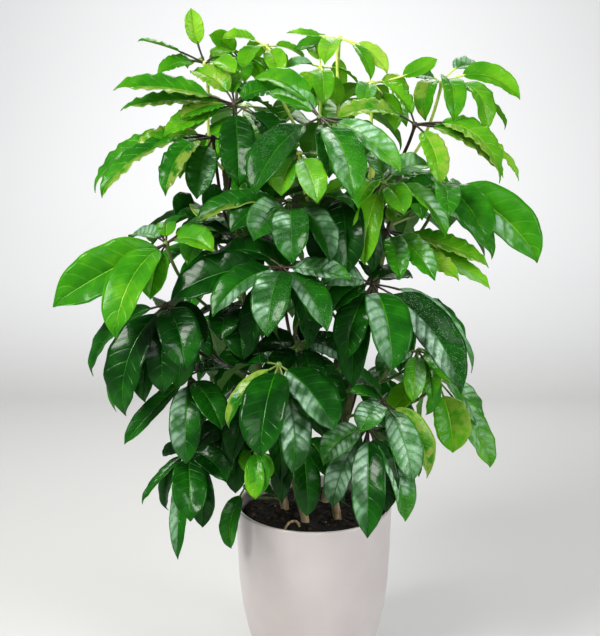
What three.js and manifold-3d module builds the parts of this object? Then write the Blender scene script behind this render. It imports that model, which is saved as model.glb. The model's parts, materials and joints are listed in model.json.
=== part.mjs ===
// Potted umbrella plant: four canes standing in a filled tapered pot, with long-stalked leaves,
// each an umbrella of arched, folded, pointed leaflets round one hub.
// Millimetres, +Z up, +X to the viewer's right, the viewer in front at -Y.
// The origin is the middle of the flat base that the pot stands on.
import * as THREE from 'three';
import { mergeVertices } from 'three/addons/utils/BufferGeometryUtils.js';
import Module from 'manifold-3d';

const wasm = await Module();
wasm.setup();

// Driving dimensions
const POT_HEIGHT = 310;
const POT_FLOOR = 8;
const POT_SIDES = 24;
const SOIL_HEIGHT = 292;
const SOIL_RADIUS = 127.4;
const SOIL_EDGE_DROP = 6;
const SOIL_SHOULDER = 118;
const SOIL_CROWN = 3;
const FIT_GAP = 0.3;
const CANE_FOOT = 205;
const CANE_RADIUS = 8.5;
const CANE_TOP_RADIUS = 5;
const CANE_SIDES = 6;
const CANE_SPARE_RINGS = 2;
const PETIOLE_RADIUS = 2.6;
const PETIOLE_SIDES = 4;
const HUB_RADIUS = 8;
const STALK_RADIUS = 1.6;
const BLADE_THICKNESS = 2.2;
const CLEARANCE = 1.2;
const POT_COLOUR = 0xe6e2df;
const SOIL_COLOUR = 0x1d1410;
const CANE_COLOUR = 0xb09a6d;

// Outer half width of the pot at each height, from the base up to the rim: [radius, height]
const POT_OUTER = [
  [80, 0],
  [85, 3],
  [97, 26],
  [108.4, 54],
  [117.6, 88],
  [125, 125],
  [130.2, 170],
  [133.2, 230],
  [135, POT_HEIGHT - 2],
  [133.5, POT_HEIGHT],
  [130, POT_HEIGHT],
  [128.8, POT_HEIGHT - 2],
];
// Its inner wall from the rim down: [radius, height]
const POT_INNER = [
  [127.2, 230],
  [118.8, 125],
  [102.2, 54],
  [84, POT_FLOOR],
];

// The canes, as points up their middle lines from the foot in the soil
const CANES = [
  {
    name: 'cane_front_left',
    line: [
      [-15, -45, CANE_FOOT], [-15, -45, 290], [-34, -32, 370], [-45, -18, 470], [-40, -5, 570],
      [-15, 5, 650], [8, 10, 730], [18, 12, 810], [15, 10, 880], [10, 5, 935],
    ],
  },
  {
    name: 'cane_front_right',
    line: [
      [40, -35, CANE_FOOT], [40, -35, 290], [27, -20, 370], [30, 0, 460], [40, 10, 560],
      [52, 20, 665], [72, 20, 765], [92, 10, 870],
    ],
  },
  {
    name: 'cane_left',
    line: [
      [-50, 10, CANE_FOOT], [-50, 10, 290], [-75, 30, 410], [-92, 40, 520], [-115, 50, 630],
      [-135, 40, 745], [-145, 22, 850], [-150, 10, 905],
    ],
  },
  {
    name: 'cane_back',
    line: [
      [20, 45, CANE_FOOT], [20, 45, 290], [52, 68, 420], [88, 90, 570], [115, 100, 700],
      [138, 92, 810], [150, 80, 890],
    ],
  },
];

// Every leaf: the cane and the height it grows from, its hub, and its leaflets. Those in sight from the
// front are given one by one as [x, y, z, width], the tip measured from the hub, with any form of their
// own. The others, up to the count, fan into the widest gaps left round the hub, at the leaf's own
// length, and droop by degrees.
const LEAVES = [
  {
    name: 'leaf_top_left', cane: 2, from: 882, hub: [-175, -10, 1050],
    age: 'young', count: 7, length: 90, droop: 5,
    seen: [
      [-20, 0, 85, 32, { stalk: 0.36, arch: -0.04, face: 9 }],
      [-100, -30, 35, 30, { stalk: 0.36, arch: 0.04, face: 0.1 }], [-70, -40, -20, 34],
      [50, 70, 20, 38], [40, 50, 0, 36],
    ],
  },
  {
    name: 'leaf_upper_left', cane: 2, from: 842, hub: [-125, -70, 985],
    age: 'fresh', count: 9, length: 140, droop: 15,
    seen: [
      [-170, -40, -5, 34, { arch: 0.06, face: 0.5 }], [-175, -60, 25, 50, { arch: 0.06 }],
      [-115, -55, -25, 38, { arch: 0.05 }], [-70, 60, 60, 45], [-25, 90, 60, 42], [40, 90, 40, 44],
      [70, 70, 5, 38], [10, -80, -120, 56], [80, -40, -110, 60],
    ],
  },
  {
    name: 'leaf_left_long', cane: 2, from: 780, hub: [-160, -60, 935],
    age: 'fresh', count: 7, length: 150, droop: 30,
    seen: [
      [-190, -20, -80, 46, { arch: 0.16, face: 0.7 }],
      [-165, -70, -95, 46, { arch: 0.14, face: 0.6 }], [-75, -90, -85, 44, { arch: 0.2 }],
      [-20, -70, -90, 48],
    ],
  },
  {
    name: 'leaf_top_mid_left', cane: 0, from: 912, hub: [-80, 40, 1080],
    age: 'young', count: 6, length: 80, droop: 20,
    seen: [
      [-70, -20, 10, 34], [-35, -60, -40, 36], [25, -60, -50, 38], [65, 20, -20, 32],
    ],
  },
  {
    name: 'leaf_top_small', cane: 2, from: 900, hub: [-125, 70, 1060],
    age: 'young', count: 6, length: 75, droop: 10,
    seen: [
      [-45, -30, 40, 36, { face: 3 }], [-20, -45, 15, 32],
    ],
  },
  {
    name: 'leaf_crown', cane: 0, from: 932, hub: [40, 10, 1090],
    age: 'young', count: 6, length: 100, droop: 35,
    seen: [
      [-85, -10, 9, 26, { stalk: 0.34, arch: 0, face: 0.4 }], [-70, 50, -15, 40, { arch: 0 }],
      [75, -30, -55, 32, { stalk: 0.3 }], [48, -45, -66, 26, { stalk: 0.3 }],
      [0, 50, -105, 30, { stalk: 0.34 }],
    ],
  },
  {
    name: 'leaf_crown_low', cane: 0, from: 896, hub: [10, 20, 1045],
    age: 'young', count: 6, length: 90, droop: 35,
    seen: [
      [-55, -20, 0, 32], [-15, 40, 40, 34], [-35, -60, -65, 36], [0, -70, -65, 38],
      [30, -40, -60, 36],
    ],
  },
  {
    name: 'leaf_crown_right', cane: 1, from: 862, hub: [90, -20, 1020],
    age: 'young', count: 6, length: 85, droop: 20,
    seen: [
      [35, -40, -75, 36], [60, 0, -15, 36], [-15, -50, -35, 36],
      [110, 20, 25, 34, { stalk: 0.45, arch: -0.06, face: 1.5 }],
    ],
  },
  {
    name: 'leaf_front_top', cane: 0, from: 850, hub: [5, -150, 965],
    age: 'fresh', count: 8, length: 140, droop: 25,
    seen: [
      [45, -100, -110, 62], [-95, -80, -105, 64], [115, -60, -75, 44], [-100, 90, 60, 46],
      [20, -60, -85, 38],
    ],
  },
  {
    name: 'leaf_right_upper', cane: 1, from: 838, hub: [155, -60, 955],
    age: 'fresh', count: 5, length: 130, droop: 25,
    seen: [
      [-125, -60, 10, 42], [133, -30, -88, 54, { arch: 0.24 }], [172, 15, -86, 40],
      [34, -50, -96, 42], [-65, 40, 55, 32],
    ],
  },
  {
    name: 'leaf_right_top', cane: 3, from: 885, hub: [205, 10, 1020],
    age: 'young', count: 7, length: 110, droop: 20,
    seen: [
      [-32, -50, -60, 40, { arch: 0.38 }], [5, -80, -65, 44, { arch: 0.32 }],
      [62, -50, -78, 50, { arch: 0.32 }], [85, 50, 5, 40, { arch: 0.28 }], [-60, -20, 10, 36],
      [115, 30, -70, 28, { face: 0 }], [130, 10, -25, 46, { arch: 0.2, face: 1.6 }],
    ],
  },
  {
    name: 'leaf_mid_left', cane: 0, from: 700, hub: [-40, -170, 845],
    age: 'fresh', count: 7, length: 130, droop: 30,
    seen: [
      [5, -90, -80, 58], [-50, -60, -50, 58], [-140, 10, -30, 52], [60, -50, -85, 50],
    ],
  },
  {
    name: 'leaf_left_dark', cane: 2, from: 700, hub: [-180, -60, 820],
    age: 'grown', count: 6, length: 100, droop: 15,
    seen: [
      [-35, -60, 0, 54, { face: 2.4 }], [40, -40, 30, 44, { face: 2 }],
    ],
  },
  {
    name: 'leaf_small_bright', cane: 0, from: 780, hub: [-25, -200, 915],
    age: 'fresh', count: 5, length: 80, droop: 30,
    seen: [
      [25, -60, -65, 44], [-30, -50, -50, 42], [-35, 40, 15, 32],
    ],
  },
  {
    name: 'leaf_middle', cane: 0, from: 745, hub: [35, -120, 855],
    age: 'grown', count: 7, length: 130, droop: 35,
    seen: [
      [10, -80, -115, 62], [50, -60, -115, 44], [-30, -60, -110, 54],
    ],
  },
  {
    name: 'leaf_right_arched', cane: 1, from: 765, hub: [100, -150, 870],
    age: 'fresh', count: 6, length: 110, droop: 20,
    seen: [
      [90, -40, -75, 44], [25, -60, -40, 42], [80, 60, 20, 40], [-10, 60, 45, 40],
    ],
  },
  {
    name: 'leaf_right', cane: 1, from: 670, hub: [195, -110, 865],
    age: 'fresh', count: 7, length: 120, droop: 20,
    seen: [
      [145, -30, -115, 74, { stalk: 0.1, arch: 0.1, face: 1.4 }],
      [55, -70, -80, 64, { stalk: 0.08 }], [-50, -50, -30, 50],
    ],
  },
  {
    name: 'leaf_right_waved', cane: 1, from: 650, hub: [110, -110, 795],
    age: 'fresh', count: 7, length: 120, droop: 20,
    seen: [
      [105, -60, -65, 42, { arch: 0.02 }], [155, -30, -50, 40, { arch: 0.05 }],
      [160, -25, -84, 36, { arch: 0.03 }], [65, -80, -65, 42], [20, -70, -75, 40], [30, 50, 35, 32],
    ],
  },
  {
    name: 'leaf_left_bright', cane: 2, from: 600, hub: [-225, -150, 780],
    age: 'fresh', count: 8, length: 100, droop: 5,
    seen: [
      [-170, -30, -90, 78, { stalk: 0.08, arch: 0.03, face: 2.4 }],
      [-65, -100, -125, 68, { stalk: 0.1 }], [-15, -70, -70, 44], [75, -50, -5, 48],
      [-65, 60, 0, 46], [-15, 60, 15, 32], [-50, 90, 15, 32],
    ],
  },
  {
    name: 'leaf_centre', cane: 0, from: 590, hub: [-50, -190, 750],
    age: 'grown', count: 10, length: 130, droop: 30,
    seen: [
      [-20, -90, -85, 58], [-100, -50, -65, 54], [65, -60, -85, 52], [-170, 0, -50, 64],
      [-125, 70, -5, 50], [-50, -30, -120, 46], [40, 0, -125, 48],
      [100, -45, -10, 44, { arch: 0.04, face: 0.7 }], [0, 30, -120, 46],
    ],
  },
  {
    name: 'leaf_lower_left', cane: 2, from: 520, hub: [-225, -170, 690],
    age: 'old', count: 8, length: 120, droop: 20,
    seen: [
      [-60, -50, -160, 66], [35, -70, -85, 64], [-125, 20, -115, 50], [-85, -10, -165, 44],
      [-25, -40, -145, 52], [10, -20, -130, 46], [55, 20, -65, 46],
    ],
  },
  {
    name: 'leaf_right_centre', cane: 1, from: 560, hub: [85, -160, 720],
    age: 'grown', count: 9, length: 130, droop: 25,
    seen: [
      [24, -100, -110, 74], [130, -60, -155, 64], [165, 30, -145, 36], [-40, -50, -105, 56],
      [70, 80, 0, 40], [-80, -40, 5, 44, { arch: 0.12 }], [-60, -20, -50, 50], [-5, 60, 20, 40],
    ],
  },
  {
    name: 'leaf_right_low', cane: 1, from: 500, hub: [165, -90, 600],
    age: 'grown', count: 6, length: 100, droop: 30,
    seen: [
      [-15, -70, -65, 38], [15, -60, -60, 38], [55, -50, -60, 42], [-55, 30, -70, 38],
      [15, -10, -105, 38],
    ],
  },
  {
    name: 'leaf_right_backlit', cane: 3, from: 440, hub: [200, -50, 545],
    age: 'young', count: 5, length: 110, droop: 30,
    seen: [
      [98, -10, -152, 56, { arch: 0.05 }], [24, -50, -112, 64], [-30, 30, -90, 40],
    ],
  },
  {
    name: 'leaf_right_lower', cane: 1, from: 420, hub: [105, -160, 535],
    age: 'old', count: 6, length: 110, droop: 25,
    seen: [
      [40, -60, -108, 50], [70, -10, -120, 44], [-75, -20, 60, 24], [-55, -30, 25, 32],
      [-40, -70, -25, 46],
    ],
  },
  {
    name: 'leaf_front_right', cane: 1, from: 385, hub: [80, -190, 505],
    age: 'old', count: 8, length: 120, droop: 35,
    seen: [
      [-5, -80, -145, 54], [-55, -35, -115, 50], [56, -30, -140, 58], [-70, -30, -50, 50],
      [-22, -50, -150, 36], [-35, 5, -130, 44],
    ],
  },
  {
    name: 'leaf_front_big', cane: 0, from: 460, hub: [-55, -220, 610],
    age: 'old', count: 7, length: 130, droop: 30,
    seen: [
      [-25, -80, -115, 74], [80, -50, -85, 76], [20, -50, -155, 54],
      [-76, -30, -88, 30, { arch: 0.13, face: 0.4 }],
    ],
  },
  {
    name: 'leaf_front_inner', cane: 0, from: 500, hub: [-25, -130, 620],
    age: 'old', count: 8, length: 120, droop: 30,
    seen: [
      [25, -70, -85, 48], [-40, -60, -70, 46], [70, -50, -105, 50], [-55, -20, 5, 44],
      [40, 20, 30, 40],
    ],
  },
  {
    name: 'leaf_front_young', cane: 0, from: 370, hub: [-95, -150, 460],
    age: 'fresh', count: 3, length: 70, droop: 40,
    seen: [
      [2, -45, -70, 32], [18, -15, -50, 32], [-14, 0, -42, 34],
    ],
  },
  {
    name: 'leaf_left_low', cane: 2, from: 418, hub: [-195, -150, 575],
    age: 'old', count: 6, length: 120, droop: 25,
    seen: [
      [-100, -30, -100, 36, { arch: 0.02 }], [0, -70, -120, 50], [50, -70, -70, 48],
      [30, -30, -70, 40],
    ],
  },
  {
    name: 'leaf_left_lowest', cane: 2, from: 345, hub: [-200, -140, 450],
    age: 'old', count: 7, length: 100, droop: 25,
    seen: [
      [-12, -75, -150, 28], [25, -50, -115, 44], [-75, -20, -80, 24, { arch: 0.04, face: 0.4 }],
      [10, -80, -85, 56], [-28, -30, -110, 34], [50, -40, -60, 46], [-45, 20, -15, 26],
    ],
  },
  {
    name: 'leaf_over_rim', cane: 2, from: 308, hub: [-115, -60, 360],
    age: 'old', count: 3, length: 70, droop: 10,
    seen: [
      [-25, -30, -100, 36],
    ],
  },
  {
    name: 'leaf_inner_left', cane: 2, from: 560, hub: [-130, -120, 680],
    age: 'old', count: 6, length: 110, droop: 30,
    seen: [
      [20, -60, -75, 62], [-25, -50, -65, 50], [55, -50, -75, 56],
    ],
  },
  {
    name: 'leaf_inner_high', cane: 2, from: 650, hub: [-125, -60, 785],
    age: 'grown', count: 4, length: 110, droop: 25,
    seen: [
      [25, -70, -70, 58], [-40, -70, -35, 56],
    ],
  },
  {
    name: 'leaf_inner_low', cane: 0, from: 400, hub: [-80, -110, 535],
    age: 'old', count: 6, length: 120, droop: 35,
    seen: [
      [-50, -50, -100, 46], [-25, -30, -145, 46], [45, -30, -140, 44], [85, -20, -130, 46],
    ],
  },
  {
    name: 'leaf_low_centre', cane: 0, from: 330, hub: [-25, -110, 465],
    age: 'old', count: 5, length: 90, droop: 40,
    seen: [
      [12, -50, -118, 46], [-30, -30, -105, 40], [50, -30, -75, 46],
    ],
  },
  {
    name: 'leaf_low_left', cane: 2, from: 382, hub: [-140, -90, 475],
    age: 'old', count: 7, length: 100, droop: 40,
    seen: [
      [-25, -40, -75, 42], [0, -40, -100, 44], [25, -20, -90, 40], [40, -50, -50, 40],
      [-50, -20, -30, 44],
    ],
  },
  {
    name: 'leaf_back_top_left', cane: 2, from: 866, hub: [-120, 130, 985],
    age: 'fresh', count: 7, length: 150, droop: 25,
    seen: [],
  },
  {
    name: 'leaf_back_top', cane: 0, from: 876, hub: [40, 150, 1000],
    age: 'fresh', count: 7, length: 150, droop: 25,
    seen: [],
  },
  {
    name: 'leaf_back_top_right', cane: 3, from: 800, hub: [150, 190, 880],
    age: 'fresh', count: 7, length: 150, droop: 35,
    seen: [],
  },
  {
    name: 'leaf_back_left', cane: 2, from: 760, hub: [-150, 110, 800],
    age: 'grown', count: 7, length: 160, droop: 30,
    seen: [],
  },
  {
    name: 'leaf_back_mid_left', cane: 0, from: 760, hub: [-50, 210, 880],
    age: 'grown', count: 7, length: 160, droop: 30,
    seen: [],
  },
  {
    name: 'leaf_back_right', cane: 3, from: 780, hub: [200, 130, 820],
    age: 'grown', count: 7, length: 150, droop: 35,
    seen: [],
  },
  {
    name: 'leaf_back_mid_right', cane: 3, from: 690, hub: [110, 240, 790],
    age: 'grown', count: 7, length: 160, droop: 30,
    seen: [],
  },
  {
    name: 'leaf_back_low_left', cane: 2, from: 640, hub: [-180, 190, 740],
    age: 'grown', count: 7, length: 160, droop: 35,
    seen: [],
  },
  {
    name: 'leaf_back_centre', cane: 3, from: 560, hub: [20, 240, 650],
    age: 'old', count: 7, length: 160, droop: 35,
    seen: [],
  },
  {
    name: 'leaf_back_low_right', cane: 3, from: 600, hub: [160, 150, 640],
    age: 'old', count: 7, length: 150, droop: 35,
    seen: [],
  },
  {
    name: 'leaf_back_side', cane: 2, from: 500, hub: [-220, 90, 620],
    age: 'old', count: 7, length: 140, droop: 35,
    seen: [],
  },
  {
    name: 'leaf_back_lower', cane: 2, from: 440, hub: [-110, 200, 550],
    age: 'old', count: 7, length: 150, droop: 35,
    seen: [],
  },
  {
    name: 'leaf_back_lowest', cane: 3, from: 390, hub: [90, 210, 490],
    age: 'old', count: 7, length: 150, droop: 35,
    seen: [],
  },
];

// The bare stalk of a leaflet as a share of its whole way, by the age of its leaf
const STALK_SHARES = { young: 0.22, fresh: 0.17, grown: 0.12, old: 0.1 };
// The ranges that the rest of a leaflet's form is drawn from: more stalk and the arch as shares of its
// way, the roll and the fold in degrees, the wave of its margins as a share of its width
const MORE_STALK = [0, 0.05];
const ARCH = [0.09, 0.17];
const ROLL = [-12, 12];
const FOLD = [12, 24];
const WAVE = [0.05, 0.1];
// How often a margin waves along its blade, and how far the two margins are out of step
const WAVES = 2.2;
const OUT_OF_STEP = 0.22;
// The ranges for a filling leaflet: its length as a share of the leaf's own, its droop in degrees beside
// the leaf's own, and its width as a share of its length
const FILLING_LENGTH = [0.85, 1.1];
const FILLING_DROOP = [-12, 12];
const FILLING_WIDTH = [0.38, 0.44];
const LEAF_COLOURS = { young: 0x6fae1e, fresh: 0x3f8f22, grown: 0x27701f, old: 0x1d5424 };

// The stations along a blade, each a share of its length and of its greatest half width
const BLADE_STATIONS = [[0, 0], [0.18, 0.84], [0.6, 1], [0.89, 0.46]];
const FILLING_STATIONS = [[0, 0], [0.3, 1], [0.78, 0.66]];
// The stations along a leaf's own stalk, each a share of its way and of its radius
const PETIOLE_STATIONS = [[0, 1.7], [0.12, 1.2], [0.5, 1], [0.96, 1.1]];
// Its bend as shares of its reach: out and up from the cane, then in under the hub and down
const PETIOLE_BEND = { out: 0.32, up: 0.16, inward: 0.1, down: 0.3 };
// Its bows to the side that are tried in turn until one is clear
const PETIOLE_BOWS = [0, 0.06, -0.06, 0.12, -0.12, 0.18, -0.18, 0.25, -0.25, 0.33, -0.33];

// How far a blade is turned to the viewer: 0 is face up, 1 is halfway to upright
const SIGHT_FACE = 0.9;
const FILLING_FACE = 0.2;
// How far its upper side leans outward as well
const OUTWARD_LEAN = 0.3;
// A leaflet that isn't clear is turned by steps of this many degrees, and each try is a little shorter
const TRY_ANGLE = 4;
const TRIES_ROUND = 6;
const TRY_SHRINK = 0.004;
const MOST_TRIES = 48;
const LEAST_FLAT = 30;
const FIRST_SEED = 1000;
const HALVINGS = 30;

const UP = new THREE.Vector3(0, 0, 1);
const FRONT = new THREE.Vector3(0, -1, 0);

const vector = ([x, y, z]) => new THREE.Vector3(x, y, z);
const within = ([low, high], share) => THREE.MathUtils.lerp(low, high, share);

// The part of a direction that is square to an axis, at length one
function squareTo(axis, direction) {
  return direction.clone().addScaledVector(axis, -direction.dot(axis)).normalize();
}

// A seeded random number maker, the same draws in the same order every time
function seededRandom(seed) {
  let state = seed >>> 0;
  return () => {
    state = (state + 0x6d2b79f5) >>> 0;
    let mixed = Math.imul(state ^ (state >>> 15), 1 | state);
    mixed = (mixed + Math.imul(mixed ^ (mixed >>> 7), 61 | mixed)) ^ mixed;
    return ((mixed ^ (mixed >>> 14)) >>> 0) / 2 ** 32;
  };
}

// A closed geometry through rings with the same number of points, each end either flat or drawn to a
// point. The patches are split from their first corner on even sides and from their second on odd
// sides, which splits both faces of a blade alike.
function loftGeometry(rings, tip = null, root = null) {
  const sides = rings[0].length;
  const points = rings.flat();
  const corners = [];
  for (let ring = 0; ring + 1 < rings.length; ring++) {
    for (let side = 0; side < sides; side++) {
      const a = ring * sides + side;
      const b = ring * sides + (side + 1) % sides;
      const c = b + sides;
      const d = a + sides;
      corners.push(...(side % 2 === 0 ? [a, b, c, a, c, d] : [a, b, d, b, c, d]));
    }
  }
  const last = (rings.length - 1) * sides;
  if (tip) {
    for (let side = 0; side < sides; side++) {
      corners.push(last + side, last + (side + 1) % sides, points.length);
    }
    points.push(tip);
  } else {
    for (let side = 1; side + 1 < sides; side++) {
      corners.push(last, last + side, last + side + 1);
    }
  }
  if (root) {
    for (let side = 0; side < sides; side++) {
      corners.push((side + 1) % sides, side, points.length);
    }
    points.push(root);
  } else {
    for (let side = 1; side + 1 < sides; side++) {
      corners.push(0, side + 1, side);
    }
  }
  const geometry = new THREE.BufferGeometry().setFromPoints(points);
  geometry.setIndex(corners);
  return geometry;
}

// A solid to join and cut from a closed geometry, without the triangles that shrink to a line on an axis
function solidOf(geometry) {
  geometry.deleteAttribute('normal');
  geometry.deleteAttribute('uv');
  const merged = mergeVertices(geometry);
  const corners = [];
  for (let i = 0; i < merged.index.count; i += 3) {
    const [a, b, c] = [0, 1, 2].map((k) => merged.index.getX(i + k));
    if (a !== b && b !== c && c !== a) corners.push(a, b, c);
  }
  return new wasm.Manifold(new wasm.Mesh({
    numProp: 3,
    vertProperties: new Float32Array(merged.attributes.position.array),
    triVerts: new Uint32Array(corners),
  }));
}

// A solid turned round the upright axis from a profile of [radius, height] points
function turned(profile) {
  const points = profile.map(([radius, height]) => new THREE.Vector2(radius, height));
  return solidOf(new THREE.LatheGeometry(points, POT_SIDES).rotateX(Math.PI / 2));
}

// The ring of a round stalk at a centre, square to its direction
function tubeRing(centre, direction, reference, radius, sides) {
  const right = new THREE.Vector3().crossVectors(direction, reference).normalize();
  const top = new THREE.Vector3().crossVectors(right, direction).normalize();
  return Array.from({ length: sides }, (_, i) => {
    const angle = (2 * Math.PI * i) / sides;
    return centre.clone()
      .addScaledVector(right, -radius * Math.cos(angle))
      .addScaledVector(top, radius * Math.sin(angle));
  });
}

// The pot and the soil that fills it, with a plain hole round each cane
function potSolid() {
  return turned([[0, 0], ...POT_OUTER, ...POT_INNER, [0, POT_FLOOR]]);
}

function soilSolid() {
  const wall = POT_INNER.map(([radius, height]) => [radius - FIT_GAP, height + FIT_GAP]).reverse();
  const top = [
    [SOIL_RADIUS, SOIL_HEIGHT - SOIL_EDGE_DROP],
    [SOIL_SHOULDER, SOIL_HEIGHT],
    [0, SOIL_HEIGHT + SOIL_CROWN],
  ];
  const fill = turned([[0, POT_FLOOR + FIT_GAP], ...wall, ...top]);
  return CANES.reduce((soil, cane) => soil.subtract(caneSolid(cane, FIT_GAP)), fill);
}

// Canes, with room left under the foot where room is left round them
function caneCurve(cane, room) {
  const points = cane.line.map(vector);
  points[0].z -= room;
  return new THREE.CatmullRomCurve3(points, false, 'catmullrom', 0.5);
}

function caneSolid(cane, room) {
  const curve = caneCurve(cane, room);
  const steps = cane.line.length + CANE_SPARE_RINGS;
  const rings = [];
  for (let i = 0; i <= steps; i++) {
    const t = i / steps;
    const radius = THREE.MathUtils.lerp(CANE_RADIUS, CANE_TOP_RADIUS, t) + room;
    rings.push(tubeRing(curve.getPoint(t), curve.getTangent(t), FRONT, radius, CANE_SIDES));
  }
  return solidOf(loftGeometry(rings));
}

// The point on a cane's middle line at a height
function canePoint(cane, height) {
  const curve = caneCurve(cane, 0);
  let low = 0;
  let high = 1;
  for (let i = 0; i < HALVINGS; i++) {
    const middle = (low + high) / 2;
    if (curve.getPoint(middle).z < height) low = middle;
    else high = middle;
  }
  return curve.getPoint(low);
}

// Petioles: a leaf's own stalk, from inside its cane up and out to the thick hub under its leaflets
function petioleSolid(leaf, bow, room) {
  const start = canePoint(CANES[leaf.cane], leaf.from);
  const end = vector(leaf.hub);
  const out = new THREE.Vector3(end.x - start.x, end.y - start.y, 0).normalize();
  const side = new THREE.Vector3().crossVectors(out, UP);
  const reach = start.distanceTo(end);
  const first = start.clone()
    .addScaledVector(out, PETIOLE_BEND.out * reach)
    .addScaledVector(UP, PETIOLE_BEND.up * reach)
    .addScaledVector(side, bow * reach);
  const second = end.clone()
    .addScaledVector(out, -PETIOLE_BEND.inward * reach)
    .addScaledVector(UP, -PETIOLE_BEND.down * reach)
    .addScaledVector(side, bow * reach);
  const curve = new THREE.CubicBezierCurve3(start, first, second, end);
  const reference = new THREE.Vector3().crossVectors(curve.getTangent(0.5), UP).normalize();
  const rings = PETIOLE_STATIONS.map(([t, swell]) => tubeRing(
    curve.getPoint(t),
    curve.getTangent(t),
    reference,
    PETIOLE_RADIUS * swell + room,
    PETIOLE_SIDES,
  ));
  const tangent = curve.getTangent(1);
  rings.push(tubeRing(end, tangent, reference, HUB_RADIUS + room, PETIOLE_SIDES));
  return solidOf(loftGeometry(rings, end.clone().addScaledVector(tangent, HUB_RADIUS + room)));
}

// Leaflets. A leaflet's own measures: where its tip lies from the hub, its width and its form
function leafletForm(reach, width, form, age, draw) {
  return {
    reach: vector(reach),
    width,
    stalk: form.stalk ?? STALK_SHARES[age] + within(MORE_STALK, draw()),
    arch: form.arch ?? within(ARCH, draw()),
    roll: within(ROLL, draw()),
    fold: within(FOLD, draw()),
    wave: within(WAVE, draw()),
    phase: draw(),
    face: form.face ?? SIGHT_FACE,
    stations: form.stations ?? BLADE_STATIONS,
  };
}

// The tries go round the wanted direction in widening rings
function turnedReach(reach, attempt) {
  const swing = THREE.MathUtils.degToRad(TRY_ANGLE * Math.ceil(attempt / TRIES_ROUND));
  const turn = (2 * Math.PI * attempt) / TRIES_ROUND;
  const flat = Math.hypot(reach.x, reach.y);
  const sweep = (swing * Math.cos(turn) * reach.length()) / Math.max(flat, LEAST_FLAT);
  const bearing = Math.atan2(reach.y, reach.x) + sweep;
  const rise = Math.atan2(reach.z, flat) + swing * Math.sin(turn);
  const long = reach.length() * (1 - TRY_SHRINK * attempt);
  return new THREE.Vector3(
    long * Math.cos(rise) * Math.cos(bearing),
    long * Math.cos(rise) * Math.sin(bearing),
    long * Math.sin(rise),
  );
}

// A leaflet's place, upper side and right side at a share t of its way from the hub
function leafletFrame(hub, leaflet, reach, t) {
  const long = reach.length();
  const chord = reach.clone().normalize();
  const outward = new THREE.Vector3(chord.x, chord.y, 0);
  const rise = squareTo(chord, UP.clone().addScaledVector(outward, OUTWARD_LEAN));
  const facing = squareTo(chord, rise.clone().addScaledVector(FRONT, leaflet.face));
  const middle = reach.clone().multiplyScalar(0.5).addScaledVector(rise, 2 * leaflet.arch * long);
  const curve = new THREE.QuadraticBezierCurve3(hub, hub.clone().add(middle), hub.clone().add(reach));
  const direction = curve.getTangent(t);
  const across = new THREE.Vector3().crossVectors(chord, facing)
    .applyAxisAngle(chord, THREE.MathUtils.degToRad(leaflet.roll));
  const top = new THREE.Vector3().crossVectors(across, direction).normalize();
  const right = new THREE.Vector3().crossVectors(direction, top).normalize();
  return { place: curve.getPoint(t), top, right };
}

// The lift of a blade's margin at a share s of its length, on the left (-1) or the right (1)
function marginWave(leaflet, s, side) {
  const turns = WAVES * s + leaflet.phase + OUT_OF_STEP * side;
  return leaflet.wave * leaflet.width * Math.sin(2 * Math.PI * turns);
}

// A ring round a blade: its left margin, middle, right margin and underside, thicker where room is left
function bladeRing(frame, half, rise, lifts, thick, room) {
  const at = (across, up) => frame.place.clone()
    .addScaledVector(frame.right, across)
    .addScaledVector(frame.top, up);
  const left = rise + lifts[0];
  const right = rise + lifts[1];
  if (room === 0) return [at(-half, left), at(0, thick), at(half, right), at(0, -thick)];
  return [
    at(-half, left + room), at(0, thick), at(half, right + room),
    at(half, right - room), at(0, -thick), at(-half, left - room),
  ];
}

function leafletSolid(hub, leaflet, attempt, room, bladeOnly) {
  const reach = turnedReach(leaflet.reach, attempt);
  const fold = THREE.MathUtils.degToRad(leaflet.fold);
  const rings = [];
  for (const [s, share] of leaflet.stations) {
    const frame = leafletFrame(hub, leaflet, reach, leaflet.stalk + (1 - leaflet.stalk) * s);
    const half = Math.max(STALK_RADIUS, 0.5 * leaflet.width * share);
    const lifts = [-1, 1].map((side) => marginWave(leaflet, s, side) * share);
    const across = (half + room) * Math.cos(fold);
    rings.push(bladeRing(frame, across, half * Math.sin(fold), lifts, BLADE_THICKNESS / 2 + room, room));
  }
  const tip = hub.clone().add(reach).addScaledVector(reach.clone().normalize(), room);
  return solidOf(loftGeometry(rings, tip, bladeOnly ? null : hub));
}

// What stands in the way so far: each solid with its box and the piece that it belongs to
const placed = [];

function place(solid, owner) {
  placed.push({ solid, box: solid.boundingBox(), owner });
}

function boxesMeet(a, b) {
  return [0, 1, 2].every((k) => a.min[k] <= b.max[k] && b.min[k] <= a.max[k]);
}

// A padded solid is clear if it meets nothing placed, save the pieces that are passed over
function isClear(padded, passedOver) {
  const box = padded.boundingBox();
  return placed.every((other) => (
    passedOver(other.owner) || !boxesMeet(box, other.box) || padded.intersect(other.solid).isEmpty()
  ));
}

const plant = new THREE.Group();

function addMesh(name, solid, colour, roughness) {
  const mesh = solid.getMesh();
  const geometry = new THREE.BufferGeometry();
  geometry.setAttribute('position', new THREE.BufferAttribute(new Float32Array(mesh.vertProperties), 3));
  geometry.setIndex(new THREE.BufferAttribute(new Uint32Array(mesh.triVerts), 1));
  geometry.computeVertexNormals();
  const look = { color: colour, roughness, metalness: 0, flatShading: true };
  const node = new THREE.Mesh(geometry, new THREE.MeshStandardMaterial(look));
  node.name = name;
  plant.add(node);
}

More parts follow.
